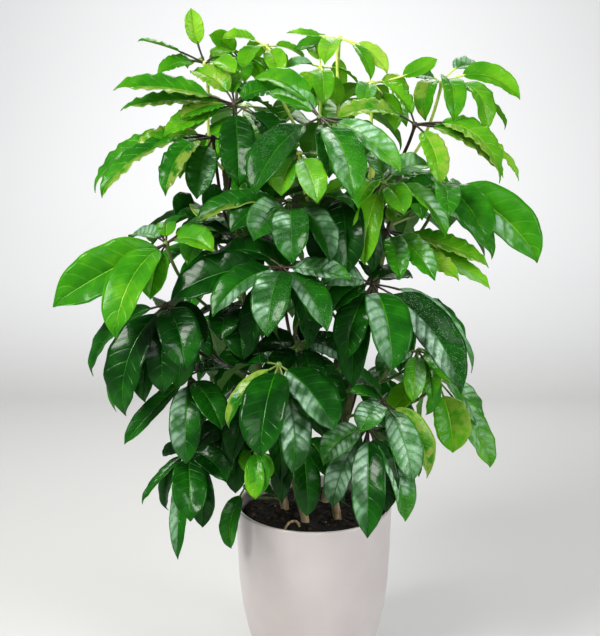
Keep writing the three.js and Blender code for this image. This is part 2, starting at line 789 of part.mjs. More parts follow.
const pot = potSolid();
const soil = soilSolid();
place(pot, 'pot');
place(soil, 'soil');
addMesh('pot', pot, POT_COLOUR, 0.35);
addMesh('soil', soil, SOIL_COLOUR, 0.95);
for (const cane of CANES) {
  const solid = caneSolid(cane, 0);
  place(solid, cane.name);
  addMesh(cane.name, solid, CANE_COLOUR, 0.8);
}

// Petioles first, each bowed to the side as little as keeps it clear of the others
const grown = LEAVES.map((leaf, index) => {
  const home = CANES[leaf.cane].name;
  const bow = PETIOLE_BOWS.find((value) => (
    isClear(petioleSolid(leaf, value, CLEARANCE), (owner) => owner === home)
  ));
  const petiole = petioleSolid(leaf, bow, 0);
  place(petiole, leaf.name);
  return { leaf, petiole, leaflets: [], draw: seededRandom(FIRST_SEED + index) };
});

// A leaflet goes in at its first clear try. Only its blade has to clear the rest of its own leaf.
function growLeaflet({ leaf, leaflets }, leaflet) {
  const hub = vector(leaf.hub);
  for (let attempt = 0; attempt < MOST_TRIES; attempt++) {
    const whole = leafletSolid(hub, leaflet, attempt, CLEARANCE, false);
    const blade = leafletSolid(hub, leaflet, attempt, CLEARANCE, true);
    if (isClear(whole, (owner) => owner === leaf.name) && isClear(blade, (owner) => owner !== leaf.name)) {
      const solid = leafletSolid(hub, leaflet, attempt, 0, false);
      place(solid, leaf.name);
      leaflets.push(solid);
      return;
    }
  }
}

for (const part of grown) {
  for (const [x, y, z, width, form = {}] of part.leaf.seen) {
    growLeaflet(part, leafletForm([x, y, z], width, form, part.leaf.age, part.draw));
  }
}

// The filling leaflets, each in the middle of the widest gap left round the hub
for (const part of grown) {
  const { leaf, draw } = part;
  const bearings = leaf.seen.map(([x, y]) => Math.atan2(y, x));
  if (bearings.length === 0) bearings.push(2 * Math.PI * draw() - Math.PI);
  for (let i = leaf.seen.length; i < leaf.count; i++) {
    bearings.sort((a, b) => a - b);
    const gaps = bearings.map((value, k) => (bearings[k + 1] ?? bearings[0] + 2 * Math.PI) - value);
    const widest = gaps.indexOf(Math.max(...gaps));
    const bearing = bearings[widest] + gaps[widest] / 2;
    bearings.push(bearing > Math.PI ? bearing - 2 * Math.PI : bearing);
    const long = leaf.length * within(FILLING_LENGTH, draw());
    const droop = THREE.MathUtils.degToRad(leaf.droop + within(FILLING_DROOP, draw()));
    const reach = [
      long * Math.cos(droop) * Math.cos(bearing),
      long * Math.cos(droop) * Math.sin(bearing),
      -long * Math.sin(droop),
    ];
    const width = long * within(FILLING_WIDTH, draw());
    const form = { face: FILLING_FACE, stations: FILLING_STATIONS };
    growLeaflet(part, leafletForm(reach, width, form, leaf.age, draw));
  }
}

// Each leaf is one body: its petiole, seated against the cane, and the leaflets sunk into its hub
for (const { leaf, petiole, leaflets } of grown) {
  const seated = petiole.subtract(caneSolid(CANES[leaf.cane], FIT_GAP));
  const whole = leaflets.reduce((body, leaflet) => body.add(leaflet), seated);
  addMesh(leaf.name, whole, LEAF_COLOURS[leaf.age], 0.4);
}

export default plant;
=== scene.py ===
import json
import math
import random

import bmesh
import bpy
import numpy as np
from mathutils import Matrix, Vector


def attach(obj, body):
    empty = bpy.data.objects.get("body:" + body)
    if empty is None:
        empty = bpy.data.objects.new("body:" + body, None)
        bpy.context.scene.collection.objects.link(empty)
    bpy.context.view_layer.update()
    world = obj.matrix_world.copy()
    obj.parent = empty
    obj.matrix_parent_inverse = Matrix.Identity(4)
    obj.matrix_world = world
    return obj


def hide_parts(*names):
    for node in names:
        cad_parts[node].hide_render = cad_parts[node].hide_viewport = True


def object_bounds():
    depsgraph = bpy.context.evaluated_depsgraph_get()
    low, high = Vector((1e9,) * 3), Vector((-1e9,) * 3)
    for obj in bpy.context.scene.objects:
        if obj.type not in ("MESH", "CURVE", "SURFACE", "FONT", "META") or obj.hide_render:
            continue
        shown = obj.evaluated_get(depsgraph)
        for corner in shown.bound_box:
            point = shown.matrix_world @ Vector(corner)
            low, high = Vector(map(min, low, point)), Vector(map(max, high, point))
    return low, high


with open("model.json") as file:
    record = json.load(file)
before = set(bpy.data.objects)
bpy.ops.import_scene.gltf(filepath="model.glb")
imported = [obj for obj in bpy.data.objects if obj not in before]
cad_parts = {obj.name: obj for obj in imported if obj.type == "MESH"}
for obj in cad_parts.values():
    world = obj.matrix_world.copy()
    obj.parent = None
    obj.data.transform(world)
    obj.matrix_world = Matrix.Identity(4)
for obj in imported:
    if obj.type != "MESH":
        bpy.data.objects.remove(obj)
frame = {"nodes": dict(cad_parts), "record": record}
cad_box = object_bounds()

# The camera stands a good metre and a half in front of the plant at the height of its upper leaves,
# and looks eleven degrees down, so that the pot's foot is just below the picture.
LOOK_DOWN = 11.3
camera_data = bpy.data.cameras.new("camera")
camera_data.sensor_fit = "VERTICAL"
camera_data.sensor_height = 36
camera_data.lens = 56.6
camera = bpy.data.objects.new("camera", camera_data)
camera.location = (-0.024, -1.646, 0.965)
camera.rotation_euler = (math.radians(90 - LOOK_DOWN), 0, 0)
bpy.context.scene.collection.objects.link(camera)
bpy.context.scene.camera = camera

# The room is a plain pale floor that sweeps up into a backdrop. A big window light stands at the upper
# left, weaker ones on the right, in front and behind, where it shines through the young leaves, and
# one more lights the backdrop.
FLOOR_SIZE = 12
WALL_HEIGHT = 7
SWEEP_RADIUS = 4.6
FLOOR_COLOUR = (0.53, 0.53, 0.535, 1)
SKY_COLOUR = (0.97, 0.985, 1, 1)
SKY_STRENGTH = 0.3
bpy.ops.object.select_all(action="DESELECT")
bpy.ops.mesh.primitive_plane_add(size=FLOOR_SIZE, location=(0, 1, 0))
floor = bpy.context.object
floor.name = "floor"
bpy.ops.object.mode_set(mode="EDIT")
bpy.ops.mesh.select_all(action="DESELECT")
bpy.ops.object.mode_set(mode="OBJECT")
for edge in floor.data.edges:
    edge.select = all(floor.data.vertices[i].co.y > 0 for i in edge.vertices)
bpy.ops.object.mode_set(mode="EDIT")
bpy.ops.mesh.select_mode(type="EDGE")
bpy.ops.mesh.extrude_region_move(TRANSFORM_OT_translate={"value": (0, 0, WALL_HEIGHT)})
bpy.ops.object.mode_set(mode="OBJECT")
bpy.ops.object.modifier_add(type="BEVEL")
floor.modifiers[0].width = SWEEP_RADIUS
floor.modifiers[0].segments = 32
bpy.ops.object.modifier_apply(modifier=floor.modifiers[0].name)
bpy.ops.object.transform_apply(location=True, rotation=True, scale=True)
bpy.ops.object.shade_smooth()
floor_paint = bpy.data.materials.new("floor_paint")
floor_paint.use_nodes = True
floor_shader = floor_paint.node_tree.nodes["Principled BSDF"]
floor_shader.inputs["Base Color"].default_value = FLOOR_COLOUR
floor_shader.inputs["Roughness"].default_value = 0.75
floor.data.materials.append(floor_paint)

world = bpy.data.worlds.new("room")
bpy.context.scene.world = world
world.use_nodes = True
sky = world.node_tree.nodes["Background"]
sky.inputs["Color"].default_value = SKY_COLOUR
sky.inputs["Strength"].default_value = SKY_STRENGTH
bpy.context.scene.view_settings.view_transform = "Standard"
bpy.context.scene.view_settings.look = "Medium High Contrast"


def window_light(name, place, target, size, power, colour):
    data = bpy.data.lights.new(name, "AREA")
    data.shape = "RECTANGLE"
    data.size, data.size_y = size
    data.energy = power
    data.color = colour
    light = bpy.data.objects.new(name, data)
    light.location = place
    light.rotation_euler = (Vector(target) - Vector(place)).to_track_quat("-Z", "Y").to_euler()
    bpy.context.scene.collection.objects.link(light)


window_light("window_left", (-2.0, -1.7, 2.6), (0, 0, 0.7), (1.4, 1.2), 112, (1, 0.99, 0.95))
window_light("window_right", (2.4, -1.6, 1.5), (0, 0, 0.6), (1.0, 1.6), 42, (0.97, 0.99, 1))
window_light("window_front", (0.5, -3.4, 1.9), (0, 0, 0.6), (1.6, 1.0), 18, (1, 1, 1))
window_light("window_back", (0.4, 1.5, 2.4), (0, 0, 0.9), (1.8, 1.0), 36, (1, 0.99, 0.93))
window_light("wall_wash", (0, 2.0, 3.2), (0, 7.0, 2.8), (4.0, 1.6), 240, (1, 1, 1))


# The pot is one slip-cast or moulded shell with a satin white glaze, thicker at its rolled rim. It
# is drawn up from its foot ring by ring, over the rim and down inside, and closed by a flat floor.
POT_OUTER = [
    (0.0800, 0.0), (0.0832, 0.0012), (0.0850, 0.0030), (0.0905, 0.0135), (0.0970, 0.0260),
    (0.1084, 0.0540), (0.1176, 0.0880), (0.1250, 0.1250), (0.1302, 0.1700), (0.1332, 0.2300),
    (0.1343, 0.2750), (0.1349, 0.3020), (0.1350, 0.3070), (0.1345, 0.3088), (0.1332, 0.3098),
    (0.1315, 0.3100), (0.1299, 0.3096), (0.1289, 0.3082), (0.1284, 0.3050),
]
POT_INNER = [(0.1280, 0.2700), (0.1272, 0.2300), (0.1188, 0.1250), (0.1022, 0.0540), (0.0840, 0.0080)]
SMOOTH_ANGLE = math.radians(50)
# The white glaze is painted a darker pinkish grey: painted shade with a painted warm bounce
GLAZE_WITH_PAINTED_SHADE = ((0.475, 0.430, 0.422, 1), (0.525, 0.484, 0.477, 1))


def drawn_up(name, profile, sides, lean=0.0, tilt=0.0):
    """A closed piece drawn up from a round face, ring by ring through (radius, height) pairs. Each ring
    steps aside by lean, and widens or narrows about a line that leaves the upright by tilt per metre."""
    radius, height = profile[0]
    bpy.ops.object.select_all(action="DESELECT")
    bpy.ops.mesh.primitive_circle_add(
        vertices=sides, radius=radius, fill_type="NGON", location=(0, 0, height))
    piece = bpy.context.object
    piece.name = name
    bpy.ops.object.transform_apply(location=True, rotation=False, scale=False)
    bpy.ops.object.mode_set(mode="EDIT")
    bpy.ops.mesh.select_all(action="SELECT")
    for (radius, height), (wider, higher) in zip(profile, profile[1:]):
        bpy.ops.mesh.extrude_region_move(TRANSFORM_OT_translate={"value": (lean, 0, higher - height)})
        share = wider / radius
        bpy.ops.transform.resize(value=(share, share, 1), center_override=(tilt * higher, 0, higher))
    bpy.ops.mesh.select_all(action="SELECT")
    bpy.ops.mesh.normals_make_consistent(inside=False)
    bpy.ops.object.mode_set(mode="OBJECT")
    return piece


pot = drawn_up("glazed_pot", POT_OUTER + POT_INNER, sides=128)
bpy.ops.object.shade_smooth_by_angle(angle=SMOOTH_ANGLE)


def new_material(name, roughness):
    """A material with its node tree and its Principled shader."""
    material = bpy.data.materials.new(name)
    material.use_nodes = True
    shader = material.node_tree.nodes["Principled BSDF"]
    shader.inputs["Roughness"].default_value = roughness
    return material, material.node_tree, shader


def put(tree, socket, value):
    """Links another node's output to a socket, or sets the socket to a number or colour."""
    if isinstance(value, bpy.types.NodeSocket):
        tree.links.new(value, socket)
    else:
        socket.default_value = value


def fade(tree, value, low, high, start=0.0, end=1.0):
    """A soft step from start to end as the value goes from low to high."""
    node = tree.nodes.new("ShaderNodeMapRange")
    node.interpolation_type = "SMOOTHSTEP"
    for socket, number in zip(node.inputs, (value, low, high, start, end)):
        put(tree, socket, number)
    return node.outputs[0]


def blend_colours(tree, share, first, second):
    node = tree.nodes.new("ShaderNodeMix")
    node.data_type = "RGBA"
    put(tree, node.inputs["Factor"], share)
    put(tree, node.inputs["A"], first)
    put(tree, node.inputs["B"], second)
    return node.outputs["Result"]


def noise(tree, scale, detail, stretch=(1, 1, 1)):
    """Mottling on Object coordinates; a small stretch draws it out along that axis."""
    place = tree.nodes.new("ShaderNodeTexCoord")
    mapping = tree.nodes.new("ShaderNodeMapping")
    mapping.inputs["Scale"].default_value = stretch
    texture = tree.nodes.new("ShaderNodeTexNoise")
    texture.inputs["Scale"].default_value = scale
    texture.inputs["Detail"].default_value = detail
    tree.links.new(place.outputs["Object"], mapping.inputs["Vector"])
    tree.links.new(mapping.outputs[0], texture.inputs["Vector"])
    return texture.outputs["Fac"]


def bump(tree, shader, height, distance, below=None):
    """Relief of a real height in metres, laid over the relief below it."""
    node = tree.nodes.new("ShaderNodeBump")
    node.inputs["Distance"].default_value = distance
    node.inputs["Strength"].default_value = 1
    tree.links.new(height, node.inputs["Height"])
    if below is not None:
        tree.links.new(below, node.inputs["Normal"])
    tree.links.new(node.outputs[0], shader.inputs["Normal"])
    return node.outputs[0]


glaze, tree, shader = new_material("satin_white_glaze", 0.3)
shader.inputs["Coat Weight"].default_value = 0.25
shader.inputs["Coat Roughness"].default_value = 0.2
cloudy = fade(tree, noise(tree, 7, 4), 0.3, 0.7)
put(tree, shader.inputs["Base Color"], blend_colours(tree, cloudy, *GLAZE_WITH_PAINTED_SHADE))
ripple = bump(tree, shader, noise(tree, 24, 2), 0.0006)
bump(tree, shader, noise(tree, 700, 2), 0.00002, ripple)
pot.data.materials.append(glaze)
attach(pot, "root")
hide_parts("pot")

# The fill is damp peaty soil, mounded a little round the canes, with loose crumbs, bark chips and a
# few pale grains of perlite on top. The disc is pushed up and down by humps.
SOIL_RADIUS = 0.1262
SOIL_FOOT = 0.262
SOIL_TOP = 0.286
SOIL_RINGS = 30
RING_STEP = 0.0041
EARTH_COLOURS = ((0.003, 0.0022, 0.0015, 1), (0.015, 0.0096, 0.0062, 1))
CHIP_COLOURS = ((0.012, 0.007, 0.004, 1), (0.06, 0.034, 0.018, 1))
PERLITE_COLOURS = ((0.22, 0.19, 0.15, 1), (0.42, 0.38, 0.33, 1))
soil_rings = [(SOIL_RADIUS - RING_STEP * step, SOIL_TOP) for step in range(SOIL_RINGS + 1)]
soil = drawn_up("potting_soil", [(SOIL_RADIUS, SOIL_FOOT)] + soil_rings, sides=96)

# The top of the fill in metres: the mound is level as far out as MOUND_EDGE and falls from there, and
# the lumps die out over the last LUMPS_END before the wall
MOUND_BASE = 0.2866
MOUND_RISE = 0.0052
MOUND_EDGE = 0.117
MOUND_FALL = 0.009
LUMP_HEIGHT = 0.0011
LUMPS_END = 0.02
GRIT_HEIGHT = 0.0006


def soil_height(x, y):
    """The top of the fill: a low mound that falls off at the pot's wall, with lumps and grit."""
    out = math.hypot(x, y)
    rise = MOUND_RISE * (1 - min(1, max(0, (out - MOUND_EDGE) / MOUND_FALL)) ** 2)
    lumps = math.sin(95 * x + 2) * math.sin(83 * y + 1) + 0.6 * math.sin(190 * x + 140 * y)
    grit = 0.5 * math.sin(410 * x - 330 * y + 1) * math.sin(520 * y + 260 * x)
    lumps = lumps * min(1, (SOIL_RADIUS - out) / LUMPS_END)
    return MOUND_BASE + rise + LUMP_HEIGHT * lumps + GRIT_HEIGHT * grit


for vertex in soil.data.vertices:
    on_top = vertex.co.z > (SOIL_FOOT + SOIL_TOP) / 2
    if on_top and vertex.co.xy.length < SOIL_RADIUS - RING_STEP / 2:
        vertex.co.z = soil_height(vertex.co.x, vertex.co.y)
bpy.ops.object.shade_smooth()

earth, tree, shader = new_material("damp_soil", 0.85)
fleck = fade(tree, noise(tree, 260, 4), 0.42, 0.62)
brown = blend_colours(tree, fleck, *EARTH_COLOURS)
put(tree, shader.inputs["Base Color"], brown)
lumpy = bump(tree, shader, noise(tree, 160, 5), 0.004)
bump(tree, shader, noise(tree, 900, 3), 0.001, lumpy)
soil.data.materials.append(earth)

chip_paint, tree, shader = new_material("bark_chip", 0.8)
grain = fade(tree, noise(tree, 300, 3, (1, 1, 0.2)), 0.35, 0.65)
put(tree, shader.inputs["Base Color"], blend_colours(tree, grain, *CHIP_COLOURS))
bump(tree, shader, noise(tree, 500, 3), 0.0008)
soil.data.materials.append(chip_paint)

perlite, tree, shader = new_material("perlite_grain", 0.9)
pits = fade(tree, noise(tree, 900, 2), 0.3, 0.6)
put(tree, shader.inputs["Base Color"], blend_colours(tree, pits, *PERLITE_COLOURS))
bump(tree, shader, noise(tree, 700, 3), 0.0006)
soil.data.materials.append(perlite)

bpy.ops.object.select_all(action="DESELECT")
bpy.ops.mesh.primitive_ico_sphere_add(subdivisions=2, radius=1, location=(0, 0, 0))
crumb = bpy.context.object
for vertex in crumb.data.vertices:
    x, y, z = vertex.co
    vertex.co *= 1 + 0.22 * math.sin(3 * x + 1) * math.sin(4 * y) + 0.15 * math.sin(5 * z)
crumb_points = np.array([v.co for v in crumb.data.vertices])
crumb_faces = [tuple(p.vertices) for p in crumb.data.polygons]
bpy.data.objects.remove(crumb)


def joined_mesh(name, points, faces, slots=None):
    """A new smooth-shaded piece at the origin, from its points, faces and material slots."""
    mesh = bpy.data.meshes.new(name)
    mesh.from_pydata(np.asarray(points).tolist(), [], faces)
    if slots is not None:
        mesh.polygons.foreach_set("material_index", slots)
    mesh.polygons.foreach_set("use_smooth", [True] * len(mesh.polygons))
    piece = bpy.data.objects.new(name, mesh)
    bpy.context.scene.collection.objects.link(piece)
    return piece


CRUMB_COUNT = 420
CRUMB_REACH = 0.121
# Of crumbs of earth, bark chips and perlite grains: their shares, their sizes in metres, and their
# thickness as a share of their size
KIND_SHARES = (0.62, 0.31, 0.07)
KIND_SIZES = ((0.0012, 0.0032), (0.002, 0.0052), (0.001, 0.0018))
KIND_THICKNESS = (0.8, 0.38, 0.9)
chance = random.Random(4)
points, faces, slots = [], [], []
for _ in range(CRUMB_COUNT):
    out = CRUMB_REACH * math.sqrt(chance.random())
    turn = chance.uniform(0, 2 * math.pi)
    kind = chance.choices((0, 1, 2), KIND_SHARES)[0]
    size = [chance.uniform(*sizes) for sizes in KIND_SIZES][kind]
    thick = size * KIND_THICKNESS[kind]
    spin = Matrix.Rotation(chance.uniform(0, 6.28), 3, "Z")
    spin = spin @ Matrix.Rotation(chance.uniform(-0.5, 0.5), 3, "X")
    shape = crumb_points * (size * chance.uniform(1, 1.7), size, thick)
    x, y = out * math.cos(turn), out * math.sin(turn)
    place = (x, y, soil_height(x, y) + 0.3 * thick)
    base = len(points)
    points.extend((shape @ np.array(spin).T + place).tolist())
    faces.extend(tuple(base + k for k in face) for face in crumb_faces)
    slots.extend([kind] * len(crumb_faces))
crumbs = joined_mesh("soil_crumbs", points, faces, slots)
for material in (earth, chip_paint, perlite):
    crumbs.data.materials.append(material)
for piece in (soil, crumbs):
    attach(piece, "root")
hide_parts("soil")

# The four canes are the plant's woody stems, dry and tan below and green near the top, with a raised
# ring scar wherever an old leaf fell off. Each follows the middle line of its solid.
CANES = {
    "cane_front_left": [
        (-15, -45, 205), (-15, -45, 290), (-34, -32, 370), (-45, -18, 470), (-40, -5, 570),
        (-15, 5, 650), (8, 10, 730), (18, 12, 810), (15, 10, 880), (10, 5, 935),
    ],
    "cane_front_right": [
        (40, -35, 205), (40, -35, 290), (27, -20, 370), (30, 0, 460), (40, 10, 560),
        (52, 20, 665), (72, 20, 765), (92, 10, 870),
    ],
    "cane_left": [
        (-50, 10, 205), (-50, 10, 290), (-75, 30, 410), (-92, 40, 520), (-115, 50, 630),
        (-135, 40, 745), (-145, 22, 850), (-150, 10, 905),
    ],
    "cane_back": [
        (20, 45, 205), (20, 45, 290), (52, 68, 420), (88, 90, 570), (115, 100, 700),
        (138, 92, 810), (150, 80, 890),
    ],
}


def cane_point(line, share):
    """A place on a cane's middle line and its direction there, a smooth curve through its points."""
    spans = len(line) - 1
    span = min(int(share * spans), spans - 1)
    t = share * spans - span
    here, there = Vector(line[span]), Vector(line[span + 1])
    before = Vector(line[span - 1]) if span else 2 * here - there
    after = Vector(line[span + 2]) if span + 2 <= spans else 2 * there - here
    leave, arrive = (there - before) / 2, (after - here) / 2
    turn = 2 * here - 2 * there + leave + arrive
    swing = 3 * there - 3 * here - 2 * leave - arrive
    place = ((turn * t + swing) * t + leave) * t + here
    heading = (3 * turn * t + 2 * swing) * t + leave
    return place / 1000, heading.normalized()


def tube(rings, sides):
    """Points and faces of a closed tube through (centre, direction, radius) rings."""
    points, faces = [], []
    side = None
    for centre, heading, radius in rings:
        side = Vector((0.3, -1, 0.1)).cross(heading) if side is None else side - side.dot(heading) * heading
        side = side.normalized()
        other = heading.cross(side)
        for k in range(sides):
            angle = 2 * math.pi * k / sides
            points.append(centre + radius * (math.cos(angle) * side + math.sin(angle) * other))
    for i in range(len(rings) - 1):
        for k in range(sides):
            a, b = i * sides + k, i * sides + (k + 1) % sides
            faces.append((a, b, b + sides, a + sides))
    faces.append(tuple(reversed(range(sides))))
    faces.append(tuple(range(len(points) - sides, len(points))))
    return points, faces


def maths(tree, operation, a, b=0.0, c=0.0):
    node = tree.nodes.new("ShaderNodeMath")
    node.operation = operation
    for socket, value in zip(node.inputs, (a, b, c)):
        put(tree, socket, value)
    return node.outputs[0]


def times(tree, a, b):
    return maths(tree, "MULTIPLY", a, b)


OLD_BARK = ((0.22, 0.15, 0.075, 1), (0.5, 0.39, 0.23, 1))
YOUNG_BARK = ((0.05, 0.055, 0.022, 1), (0.11, 0.13, 0.04, 1))
GREY_PATCH = (0.33, 0.3, 0.2, 1)
GREEN_FROM = 0.32
GREEN_ABOVE = 0.46
bark, tree, shader = new_material("tan_bark", 0.78)
height = tree.nodes.new("ShaderNodeSeparateXYZ")
tree.links.new(tree.nodes.new("ShaderNodeTexCoord").outputs["Object"], height.inputs[0])
streak = fade(tree, noise(tree, 140, 4, (1, 1, 0.12)), 0.32, 0.68)
tan = blend_colours(tree, streak, *OLD_BARK)
patch = fade(tree, noise(tree, 30, 3), 0.45, 0.62)
tan = blend_colours(tree, times(tree, patch, 0.5), tan, GREY_PATCH)
green = fade(tree, height.outputs["Z"], GREEN_FROM, GREEN_ABOVE)
young = blend_colours(tree, streak, *YOUNG_BARK)
put(tree, shader.inputs["Base Color"], blend_colours(tree, green, tan, young))
lines = bump(tree, shader, noise(tree, 230, 4, (1, 1, 0.1)), 0.0012)
bump(tree, shader, noise(tree, 90, 3, (0.3, 0.3, 3.5)), 0.0015, lines)

CANE_STEPS = 240
FOOT_RADIUS = 0.0085
TIP_RADIUS = 0.005
# The ring scars: the first one's place, the gaps between them and their width are shares of the cane's
# length, and their rise is a share of its radius
FIRST_SCAR = (0.012, 0.03)
SCAR_GAPS = (0.018, 0.042)
SCAR_WIDTH = 0.0035
SCAR_RISE = 0.13
for index, (name, line) in enumerate(CANES.items()):
    chance = random.Random(40 + index)
    scars = [chance.uniform(*FIRST_SCAR)]
    while scars[-1] < 1:
        scars.append(scars[-1] + chance.uniform(*SCAR_GAPS))
    rings = []
    for step in range(CANE_STEPS + 1):
        share = step / CANE_STEPS
        place, heading = cane_point(line, share)
        radius = FOOT_RADIUS + (TIP_RADIUS - FOOT_RADIUS) * share
        near = min(abs(share - scar) for scar in scars)
        radius *= 0.9 + SCAR_RISE * math.exp(-(near / SCAR_WIDTH) ** 2)
        rings.append((place, heading, radius))
    place, heading, radius = rings[0]
    rings[0] = (place, heading, radius * 0.8)
    points, faces = tube(rings, sides=20)
    cane = joined_mesh(name.replace("cane", "bark_cane"), points, faces)
    cane.data.materials.append(bark)
    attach(cane, "root")
    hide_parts(name)

# One pale root loops over the soil beside the front cane, as on a plant that has filled its pot. It
# is of the canes' own wood, a thin tapering tube that comes out of the soil and goes back into it.
ROOT_LINE = [
    (-25, -62, 288), (-27, -66, 297), (-33, -70, 303), (-41, -73, 302), (-47, -76, 296), (-50, -78, 288),
]
ROOT_RADIUS = 0.0026
ROOT_STEPS = 32
rings = []
for step in range(ROOT_STEPS + 1):
    place, heading = cane_point(ROOT_LINE, step / ROOT_STEPS)
    knobs = 1 + 0.12 * math.sin(step * 1.3)
    rings.append((place, heading, ROOT_RADIUS * knobs * (1 - 0.2 * step / ROOT_STEPS)))
points, faces = tube(rings, sides=12)
root = joined_mesh("surface_root", points, faces)
root.data.materials.append(bark)
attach(root, "root")

# A leaf is an umbrella of leaflets on one long petiole. Each blade is a thin waxy sheet with a pale
# midrib, side veins that quilt it, waved margins and a drip tip. One flat blade is modelled here, and
# every leaflet is a copy of it, bent along its own solid.
BLADE_OUTLINE = [
    (0.0, 0.06), (0.02, 0.2), (0.05, 0.4), (0.1, 0.62), (0.18, 0.82), (0.3, 0.96), (0.44, 1.0),
    (0.58, 0.985), (0.7, 0.9), (0.8, 0.73), (0.875, 0.51), (0.925, 0.3), (0.96, 0.15), (0.985, 0.07),
    (1.0, 0.012),
]
BLADE_COLUMNS = [0.0, 0.05, 0.2, 0.4, 0.62, 0.83, 1.0]
VEIN_PAIRS = 8
VEIN_SWEEP = 0.15
VEIN_CURVE = 1.3
VEIN_STAGGER = 0.35
# A blade's ribbon UV stays this far inside each whole number, because its whole parts hold the paint
RIBBON_EDGE = 0.01
RIBBON_LENGTH = 1 - 2 * RIBBON_EDGE
# A leaf's material slots: a blade's top and underside, the leaflets' own stalks, and the petiole
UPPER, UNDER, LEAFLET_STALK, PETIOLE = range(4)


def flat_blade(rows):
    """A closed flat blade, one long and two wide: its points, faces, material slots and ribbon UVs."""
    bpy.ops.object.select_all(action="DESELECT")
    columns = [-v for v in reversed(BLADE_COLUMNS)] + BLADE_COLUMNS[1:]
    bpy.ops.mesh.primitive_grid_add(
        x_subdivisions=len(columns) - 1, y_subdivisions=rows, size=2, calc_uvs=True, location=(0, 0, 0))
    blade = bpy.context.object
    for vertex in blade.data.vertices:
        column = round((vertex.co.x + 1) / 2 * (len(columns) - 1))
        along = (vertex.co.y + 1) / 2
        along = 0.45 * along + 0.55 * (0.5 - 0.5 * math.cos(math.pi * along))
        vertex.co = (columns[column], along, 0)
    ribbon = blade.data.uv_layers.active.data
    for loop in blade.data.loops:
        place = blade.data.vertices[loop.vertex_index].co
        across = RIBBON_EDGE + RIBBON_LENGTH * (place.x + 1) / 2
        ribbon[loop.index].uv = (across, RIBBON_EDGE + RIBBON_LENGTH * place.y)
    bpy.ops.object.modifier_add(type="SOLIDIFY")
    blade.modifiers[0].thickness = 2
    blade.modifiers[0].offset = 0
    bpy.ops.object.modifier_apply(modifier=blade.modifiers[0].name)
    points = np.array([v.co for v in blade.data.vertices])
    faces = [tuple(p.vertices) for p in blade.data.polygons]
    slots = [UNDER if p.normal.z < -0.5 else UPPER for p in blade.data.polygons]
    ribbons = np.array([d.uv for d in blade.data.uv_layers.active.data])
    bpy.data.objects.remove(blade)
    return points, faces, slots, ribbons


plain_blade = flat_blade(rows=32)
frilled_blade = flat_blade(rows=60)


def vein_phase(along, across):
    """Whole numbers on the side veins, which leave the midrib forward and curve with it."""
    forward = along - VEIN_SWEEP * np.abs(across) ** VEIN_CURVE
    return VEIN_PAIRS * forward + np.where(across < 0, VEIN_STAGGER, 0)


# Greens by tone: from the near black of an old leaf, at 0, to the lime of a new one, at 1
LEAF_GREENS = [
    (0.0, (0.0020, 0.020, 0.0024, 1)), (0.2, (0.0052, 0.056, 0.0042, 1)),
    (0.4, (0.0150, 0.140, 0.0065, 1)), (0.6, (0.0580, 0.290, 0.0100, 1)),
    (0.8, (0.1850, 0.500, 0.0180, 1)), (1.0, (0.4600, 0.740, 0.0900, 1)),
]
TONE_STEPS = 20
# Painted highlight: the pale mint of a waxy bloom with a painted sheen, standing in for the windows'
# reflection on glossy blades
WAX_AND_PAINTED_SHEEN_COLOUR = (0.50, 0.74, 0.54, 1)
OLIVE_COLOUR = (0.42, 0.50, 0.10, 1)
# The pale colour of each dew drop is its painted glint
DEW_PAINTED_GLINT_COLOUR = (0.52, 0.78, 0.5, 1)
UNDERSIDE_COLOUR = (0.16, 0.30, 0.06, 1)
# What may lie on a blade: a waxy bloom with a painted sheen, a stronger painted highlight, and an olive
# colour. A blade's half can be named by the half of the picture it lies on, and the painted sheen goes on the
# half that faces the light.
FINISHES = ["plain", "wax", "shine", "olive"]
PICTURE_SIDES = {"left": (-1, 0, 0), "right": (1, 0, 0), "upper": (0, 0.2, 0.98), "lower": (0, -0.2, -0.98)}


